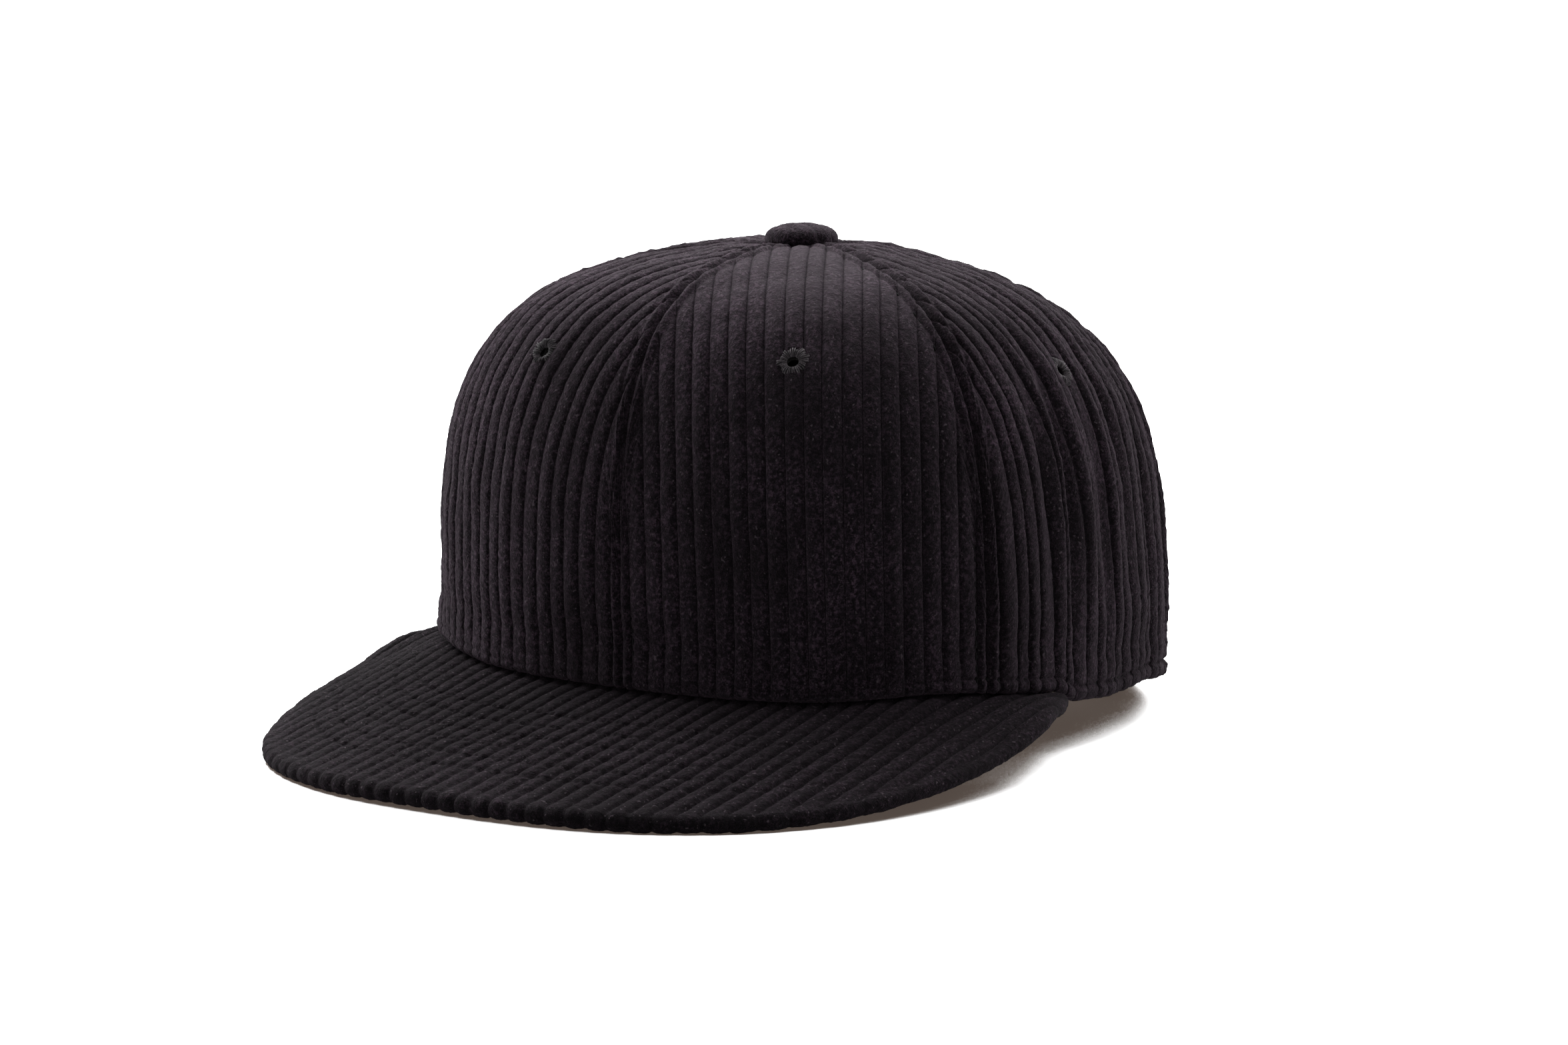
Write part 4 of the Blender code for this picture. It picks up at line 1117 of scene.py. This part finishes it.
def visor_stitching(name, trim, drop, up, sink):
    """Rows of stitches across the visor, a drop below its top face and facing up or down."""
    routes = []
    line = np.linspace(0.03, 0.97, 700)
    for row in VISOR_STITCH_ROWS:
        share = np.full(line.shape, row)
        z = visor_height(line, share) - drop
        path = np.concatenate([visor_plan(line, share, trim), z[:, None]], axis=1)
        routes.append((path, np.broadcast_to([0, 0, up], path.shape)))
    stitches(name, routes, "cap", sink)


def surface_normals(points):
    normal = np.cross(np.gradient(points, axis=1), np.gradient(points, axis=0))
    normal *= np.sign(normal[..., 2:3]) + (normal[..., 2:3] == 0)
    return normal / np.linalg.norm(normal, axis=-1, keepdims=True)


def visor_under():
    """The under cover: plain cloth with the same rows of stitching, which quilt it slightly."""
    columns, rows = 420, 90
    across = np.broadcast_to(np.linspace(0, 1, columns), (rows, columns))
    out = np.broadcast_to(np.linspace(0, 1, rows)[:, None], across.shape)
    plan = visor_plan(across, out, VISOR_ROUND + VISOR_SEAM)
    z = visor_height(across, out) - VISOR_THICKNESS
    quilt = np.max([bell(out, row, 0.012) for row in VISOR_STITCH_ROWS], axis=0)
    base = np.concatenate([plan, z[..., None]], axis=-1)
    puckered = 0.32 * MM * quilt + 0.10 * MM * value_noise(base, 9 * MM, 41)
    lower = base + np.array([0, 0, 1.0]) * puckered[..., None]
    obj = slab("visor_under_cloth", lower, base + np.array([0, 0, 0.6 * MM]))
    finish(obj, "cap", "under_cloth", "under_cloth", "visor_under_cover")
    drop = VISOR_THICKNESS - 0.12 * MM
    visor_stitching("visor_under_stitching", VISOR_ROUND + VISOR_SEAM, drop, -1.0, 0.3 * MM)


# ---------------------------------------------------------------- inside the crown

def layer(name, around, rise, depth, thickness):
    """A closed patch of the crown between a depth and that depth plus its thickness."""
    around, rise = np.broadcast_arrays(around, rise)
    return slab(name, under_crown(around, rise, depth), under_crown(around, rise, depth + thickness))


SWEATBAND_FROM = 1.5 * MM
SWEATBAND_ROWS = (0.10, 0.88)


def sweatband_depth(around):
    """Just inside the stiffeners in front, and further in behind, clear of the strap."""
    return (4.4 + 4.2 * smooth_step(from_front(around), 0.29, 0.36)) * MM


def sweatband():
    """The band inside the hem: padded twill, rolled at its lower edge and sewn along both edges."""
    end = 0.5 - (ARCH_HALF_WIDTH + 3 * MM) / HEM_LENGTH
    tall = SWEATBAND_HEIGHT - SWEATBAND_FROM
    around, up = np.broadcast_arrays(np.linspace(-end, end, 480)[None, :], np.linspace(0, 1, 40)[:, None])
    rise = SWEATBAND_FROM + up * tall
    depth = sweatband_depth(around)
    edge = 1 - np.abs(2 * up - 1) ** 10
    sewn = sum(bell(up, row, 0.022) for row in SWEATBAND_ROWS)
    swell = 0.5 * MM * edge - 0.45 * MM * sewn + 0.15 * MM * value_noise(crown(around, rise), 14 * MM, 43)
    outer = under_crown(around, rise, depth + 0.25 * MM * (1 - edge))
    inner = under_crown(around, rise, depth + SWEATBAND - 0.5 * MM + swell)
    finish(slab("sweatband_twill", outer, inner), "cap", "lining", "lining", "sweatband")
    line = np.linspace(-end + 0.004, end - 0.004, 800)
    at = sweatband_depth(line) + SWEATBAND - 0.45 * MM
    heights = [SWEATBAND_FROM + row * tall for row in SWEATBAND_ROWS]
    routes = [(under_crown(line, height, at), -crown_normal(line, height)) for height in heights]
    stitches("sweatband_stitching", routes, "cap", 0.3 * MM)


def stiffener(number, around, name):
    """Open-weave backing behind a front panel."""
    mesh_turn = 2 * math.pi / (1.9 * MM)
    across = np.linspace(*around, 110)[None, :]
    rise = (rise_to_pole(across) - PANEL_TIP) * 10 / 12 * np.linspace(0, 1, 120)[:, None]
    across = np.broadcast_to(across, rise.shape)
    ripple = 0.06 * MM * np.cos(across * HEM_LENGTH * mesh_turn) * np.cos(rise * mesh_turn)
    depth = CLOTH + LAYER_GAP + ripple - folds(across, rise) * 0.6
    obj = layer(name + "_buckram", across, rise, depth, STIFFENER)
    cut_holes(obj, [(facing(*eyelet_place(number)), EYELET_HOLE + 0.4 * MM, EYELET_HOLE + 0.4 * MM)])
    finish(obj, "cap", "buckram", "lining", name + "_stiffener")


SEAMS = ("front", "front_left", "rear_left", "rear", "rear_right", "front_right")


def seam_tape(number):
    """A woven tape over the inside of a seam, sewn down along both edges. Gives the routes of its stitching."""
    seam = number / 6
    top = rise_to_pole(seam) - PANEL_TIP
    low = 4 / 12 if SEAMS[number] == "rear" else 0.0
    rise = top * np.linspace(low, 11 / 12, 150)[:, None]
    side = np.linspace(-1, 1, 21)[None, :]
    middle = crown(seam, rise[:, 0])
    radius = np.hypot(middle[:, 0], middle[:, 1] - CROWN_Y - CROWN_LEAN)[:, None]
    half = TAPE_WIDTH / 2 / (2 * math.pi * radius)
    around = seam + side * half
    rise = np.broadcast_to(rise, around.shape)
    sewn = bell(np.abs(side), 0.72, 0.10)
    swell = 0.22 * MM * (1 - np.abs(side) ** 8) - 0.20 * MM * sewn
    swell = swell + 0.08 * MM * value_noise(crown(around, rise), 6 * MM, 47)
    depth = CLOTH + STIFFENER + 2 * LAYER_GAP
    obj = layer("woven_tape_" + SEAMS[number], around, rise, depth, TAPE - 0.1 * MM + swell)
    finish(obj, "cap", "lining", "lining", "seam_tape_" + SEAMS[number])
    lines = [seam + share * half[:, 0] for share in (-0.72, 0.72)]
    return [(under_crown(line, rise[:, 0], depth + TAPE), -crown_normal(line, rise[:, 0])) for line in lines]


def rear_line(x, z, depth):
    """Points under the crown's rear wall at widths and heights, found by stepping round to each width."""
    around = np.full(len(x), 0.5)
    for _ in range(14):
        around = around + (crown(around, z - hem_height(around))[:, 0] - x) / HEM_LENGTH
    return under_crown(around, z - hem_height(around), depth)


def arch_binding():
    """Bias binding rolled round the edge of the rear opening."""
    rings, sides = 260, 16
    radius = 1.1 * MM
    clear = radius + 1.5 * GAP
    turn = np.radians(np.linspace(3.5, 176.5, rings))
    route = rear_line((ARCH_HALF_WIDTH - clear) * np.cos(turn), (ARCH_HEIGHT - clear) * np.sin(turn), CLOTH / 2)
    tangent = np.gradient(route, axis=0)
    side = np.cross(tangent, [0, 1.0, 0])
    up = np.cross(side, tangent)
    side /= np.linalg.norm(side, axis=1, keepdims=True)
    up /= np.linalg.norm(up, axis=1, keepdims=True)
    pull = 1 + 0.10 * np.cos(np.arange(rings) * 0.9) + 0.05 * jitter(rings, 51)
    points = rod_points(route, side, up, radius * pull, sides)
    obj = make_object("arch_bias_binding", points, rod_faces(rings, sides))
    finish(obj, "cap", "lining", "lining", "arch_binding")


# ---------------------------------------------------------------- strap and clasp

STRAP_CENTRE = np.array([0, CROWN_Y + STRAP_APEX - STRAP_RADIUS, 0])


def band_points(angle, radius, height):
    angle, radius, height = np.broadcast_arrays(angle, radius, height)
    return STRAP_CENTRE + np.stack([np.sin(angle) * radius, np.cos(angle) * radius, height], axis=-1)


def wales_up():
    """Shares of the way up a strip whose wales run along it, with their section and the fall of its edges."""
    places = [(k + p + 0.5) / STRAP_WALES for k in range(STRAP_WALES) for p in WALE_POINTS]
    up = np.array(places + [1.0])[:, None]
    return up, rope(up * STRAP_WALES + 0.5), 1 - np.abs(2 * up - 1) ** 12


def groove_shade(crest, columns):
    return np.broadcast_to(np.clip((1 - crest) ** 1.4, 0, 0.9), (len(crest), columns))


def corduroy_band(name, node, body, angles, radii, heights, seed):
    """A doubled corduroy strip with a row of stitching in its lowest and its highest wale."""
    columns = 300
    angle = np.linspace(*angles, columns)[None, :]
    up, crest, edge = wales_up()
    z = heights[0] + up * (heights[1] - heights[0])
    rows = (0.5 / STRAP_WALES, 1 - 0.5 / STRAP_WALES)
    sewn = sum(bell(up, row, 0.02) for row in rows)
    height = -0.55 * MM + 0.75 * MM * crest * edge - 0.25 * MM * sewn
    outer = band_points(angle, radii[1] + height + 0.06 * MM * jitter((len(up), columns), seed), z)
    backing = 0.25 * MM * (1 - edge) + 0.05 * MM * jitter((len(up), columns), seed + 1)
    inner = band_points(angle, radii[0] + backing, z)
    cavity_shade = groove_shade(crest, columns)
    obj = slab(name + "_corduroy", outer[:, ::-1], inner[:, ::-1], attributes={"cavity_shade": cavity_shade})
    finish(obj, body, "corduroy", "corduroy", node)
    line = np.linspace(angles[0] + 0.02, angles[1] - 0.02, columns)
    out = np.stack([np.sin(line), np.cos(line), np.zeros(columns)], axis=1)
    routes = [(band_points(line, radii[1] - 0.25 * MM, heights[0] + row * (heights[1] - heights[0])), out)
              for row in rows]
    stitches(name + "_stitching", routes, body, 0.3 * MM)


def strap():
    reach = STRAP_HALF_LENGTH / STRAP_RADIUS
    radii = (STRAP_RADIUS - STRAP_THICKNESS / 2, STRAP_RADIUS + STRAP_THICKNESS / 2)
    corduroy_band("strap", "rear_strap", "strap", (-reach, reach), radii, (STRAP_LOW, STRAP_HIGH), 71)


def buckle_tab():
    """The tab that holds the clasp: a doubled corduroy strip, folded round the frame's bar."""
    turned = Matrix.Rotation(-CLASP_ANGLE, 3, "Z")
    spoke = np.array(turned @ Vector((BAR_ACROSS, STRAP_RADIUS + BAR_OUT, 0)))
    bar = STRAP_CENTRE + spoke
    angles = (math.atan2(spoke[0], spoke[1]) + 0.012, math.radians(31))
    inner = STRAP_RADIUS + STRAP_THICKNESS / 2 + 2 * GAP
    low, high = STRAP_LOW + TAB_MARGIN, STRAP_HIGH - TAB_MARGIN
    corduroy_band("tab", "buckle_tab", "cap", angles, (inner, inner + TAB_THICKNESS), (low, high), 77)
    turn = np.arange(40) / 40 * 2 * math.pi
    up, crest, edge = wales_up()
    ring = np.stack([np.cos(turn), np.sin(turn), 0 * turn], axis=1)
    radius = 2.1 * MM + (-0.45 * MM + 0.65 * MM * crest * edge)
    centre = bar + (low + up * (high - low))[..., None] * np.array([0, 0, 1.0])
    outer = centre + ring * radius[..., None]
    inside = np.broadcast_to(centre + ring * (BAR_RADIUS + GAP), outer.shape)
    cavity_shade = groove_shade(crest, len(turn))
    obj = slab("tab_loop_corduroy", outer[::-1], inside[::-1], wrap=True, attributes={"cavity_shade": cavity_shade[::-1]})
    finish(obj, "cap", "corduroy", "corduroy", "buckle_tab")


def dress(name, finish_name):
    """Gives a CAD node that stays its material."""
    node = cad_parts[name]
    node.data.materials.clear()
    node.data.materials.append(FINISH[finish_name])
    return node


def cad_nodes():
    """The CAD's metal and plastic pieces keep their shape, the metal ones with softened edges."""
    for name in ("buckle_frame", "clasp_lever", "clasp_pin", "button_former", "button_rivet", "button_washer"):
        node = dress(name, "button_metal" if name.startswith("button") else "clasp_metal")
        step = node.modifiers.new("soft edges", "BEVEL")
        step.width = 0.22 * MM
        step.segments = 3
        step.limit_method = "ANGLE"
        step.angle_limit = math.radians(35)
        step.harden_normals = False
    dress("visor_board", "visor_plastic")
    for name in ("hook_patch_front", "hook_patch_rear", "loop_patch_front", "loop_patch_rear"):
        dress(name, "hook_and_loop")


# ---------------------------------------------------------------- impact insert

def shell_depth(around, rise):
    share = smooth_step(from_front(around), 0.24, 0.35)
    side = SHELL_DEPTH_FRONT + (SHELL_DEPTH_REAR - SHELL_DEPTH_FRONT) * share
    top = smooth_step(rise - rise_to_pole(around), -60 * MM, -5 * MM)
    return side + (SHELL_DEPTH_TOP - side) * top


def shell_edge(around):
    share = (1 - np.cos(2 * math.pi * np.asarray(around))) / 2
    return SHELL_EDGE_FRONT + (SHELL_EDGE_REAR - SHELL_EDGE_FRONT) * share


def pad_depth(around, rise):
    return shell_depth(around, rise) + SHELL_THICKNESS + PAD_GAP


def ellipse_cutter(place, half_width, half_length):
    """A temporary elliptical post through the crown at a place on it."""
    sides, low, high = 40, -20 * MM, 6 * MM
    turn = np.arange(sides) / sides * 2 * math.pi
    ring = [(half_width * math.cos(t), half_length * math.sin(t)) for t in turn]
    points = [(x, y, z) for z in (low, high) for x, y in ring]
    walls = [(k, (k + 1) % sides, sides + (k + 1) % sides, sides + k) for k in range(sides)]
    mesh = bpy.data.meshes.new("cutter")
    mesh.from_pydata(points, [], walls + [tuple(range(sides))[::-1], tuple(range(sides, 2 * sides))])
    made = bpy.data.objects.new("cutter", mesh)
    bpy.context.scene.collection.objects.link(made)
    made.matrix_world = place
    return made


def cut_holes(obj, holes):
    """Cuts elliptical holes and keeps the result as the mesh."""
    tools = [ellipse_cutter(*hole) for hole in holes]
    for tool in tools:
        step = obj.modifiers.new("hole", "BOOLEAN")
        step.operation = "DIFFERENCE"
        step.object = tool
    bpy.context.view_layer.update()
    whole = bpy.data.meshes.new_from_object(obj.evaluated_get(bpy.context.evaluated_depsgraph_get()))
    obj.modifiers.clear()
    old = obj.data
    obj.data = whole
    bpy.data.meshes.remove(old)
    for tool in tools:
        bpy.data.objects.remove(tool)
    obj.data.shade_smooth()
    obj.data.set_sharp_from_angle(angle=math.radians(35))


def impact_shell():
    """Vented moulded shell: a rolled rim, a rib round the top and shallow channels between the vents."""
    columns, rows = 260, 90
    around = (np.arange(columns) / columns)[None, :]
    edge = shell_edge(around)
    pole = rise_to_pole(around)
    rise = edge + (pole - 1.2 * MM - edge) * np.linspace(0, 1, rows)[:, None]
    depth = shell_depth(around, rise)
    rim = bell(rise - edge, 1.5 * MM, 1.6 * MM)
    channel = smooth_step(0.5 + 0.5 * np.cos(2 * math.pi * around * VENTS), 0.80, 0.95)
    groove = channel * bell(pole - rise, VENTS_BELOW_POLE, 30 * MM)
    rib = bell(pole - rise, 28 * MM, 2.0 * MM)
    outer = under_crown(around, rise, depth + 0.55 * MM * groove - 0.30 * MM * rib)
    inner = under_crown(around, rise, depth + SHELL_THICKNESS + 0.35 * MM * rim)
    obj = slab("impact_shell_moulding", outer, inner, wrap=True)
    spots = [(number + 0.5) / VENTS for number in range(VENTS)]
    places = [facing(spot, rise_to_pole(spot) - VENTS_BELOW_POLE) for spot in spots]
    cut_holes(obj, [(place, 3.6 * MM, 12.0 * MM) for place in places])
    finish(obj, "insert", "shell_plastic", "shell_plastic", "impact_shell")


def crowned(across, up):
    """The swelling of a padded shape: full in the middle and pulled in at its edges."""
    return (1 - np.abs(2 * across - 1) ** 7) ** 0.5 * (1 - np.abs(2 * up - 1) ** 7) ** 0.5


def pad(name, span, channels):
    """Foam pad in a stretched cloth cover, with a sewn edge and sewn channels."""
    across, up = np.broadcast_arrays(np.linspace(0, 1, 110)[None, :], np.linspace(0, 1, 56)[:, None])
    pulled = 0.0175 * (1 - np.abs(2 * up - 1) ** 2)
    around = span[0] + (span[1] - span[0]) * (across + (0.5 - across) * pulled)
    low = shell_edge(around) + 3 * MM
    high = rise_to_pole(around) - 78 * MM
    rise = low + (high - low) * (up + (0.5 - up) * 0.06 * (1 - np.abs(2 * across - 1) ** 2))
    body = crowned(across, up)
    sewn = np.max([bell(across, share, 0.016) for share in channels], axis=0)
    depth = pad_depth(around, rise)
    puff = (0.4 + 5.6 * body * (1 - 0.38 * sewn)) * MM
    puff = puff + 0.12 * MM * value_noise(crown(around, rise), 10 * MM, 53)
    outer = under_crown(around, rise, depth + 1.3 * MM * (1 - body))
    inner = under_crown(around, rise, depth + 0.91 * MM * (1 - body) + puff * 0.98)
    obj = slab(name + "_cushion", outer, inner)
    finish(obj, "insert", "foam", "foam", name)


def crown_pad():
    """Round top pad with radial channels and a hub."""
    columns, rows = 200, 60
    around = (np.arange(columns) / columns)[None, :]
    edge, pole = shell_edge(around), rise_to_pole(around)
    low = edge + (pole - edge) * 6 / 9
    up = np.linspace(0, 1, rows)[:, None]
    rise = low + (pole - 1.5 * MM - low) * up
    body = (1 - (1 - up) ** 9) ** 0.5
    spokes = smooth_step(np.cos(2 * math.pi * around * 6), 0.90, 1.0)
    sewn = spokes * smooth_step(up, 0.05, 0.15) * smooth_step(up, 0.85, 0.6)
    hub = bell(up, 0.62, 0.03)
    puff = (0.4 + 5.5 * body * (1 - 0.30 * np.maximum(sewn, hub))) * MM
    depth = pad_depth(around, rise)
    outer = under_crown(around, rise, depth + 1.4 * MM * (1 - body))
    inner = under_crown(around, rise, depth + 1.0 * MM * (1 - body) + puff)
    obj = slab("crown_pad_cushion", outer, inner, wrap=True)
    finish(obj, "insert", "foam", "foam", "crown_pad")


# ---------------------------------------------------------------- the whole cap

# Each pad's span round the crown, and the places across it of its sewn channels
PADS = {
    "front_pad": ((-0.13, 0.13), (0.25, 0.5, 0.75)),
    "left_pad": ((0.19, 0.30), (0.5,)),
    "rear_pad": ((0.42, 0.58), (0.33, 0.67)),
    "right_pad": ((0.70, 0.81), (0.5,)),
}


def build():
    camera()
    studio()
    for number in range(6):
        panel(number)
        eyelet(number)
    stitches("crown_topstitching", seam_routes(), "cap")
    stitches("hem_topstitching", hem_route(), "cap")
    button()
    visor_top()
    visor_under()
    sweatband()
    stiffener(0, (0.0012, 0.1655), "front_left")
    stiffener(5, (-0.1655, -0.0012), "front_right")
    routes = [route for number in range(6) for route in seam_tape(number)]
    stitches("tape_stitching", routes, "cap", 0.25 * MM)
    arch_binding()
    strap()
    buckle_tab()
    cad_nodes()
    impact_shell()
    crown_pad()
    for name, (span, channels) in PADS.items():
        pad(name, span, channels)


build()
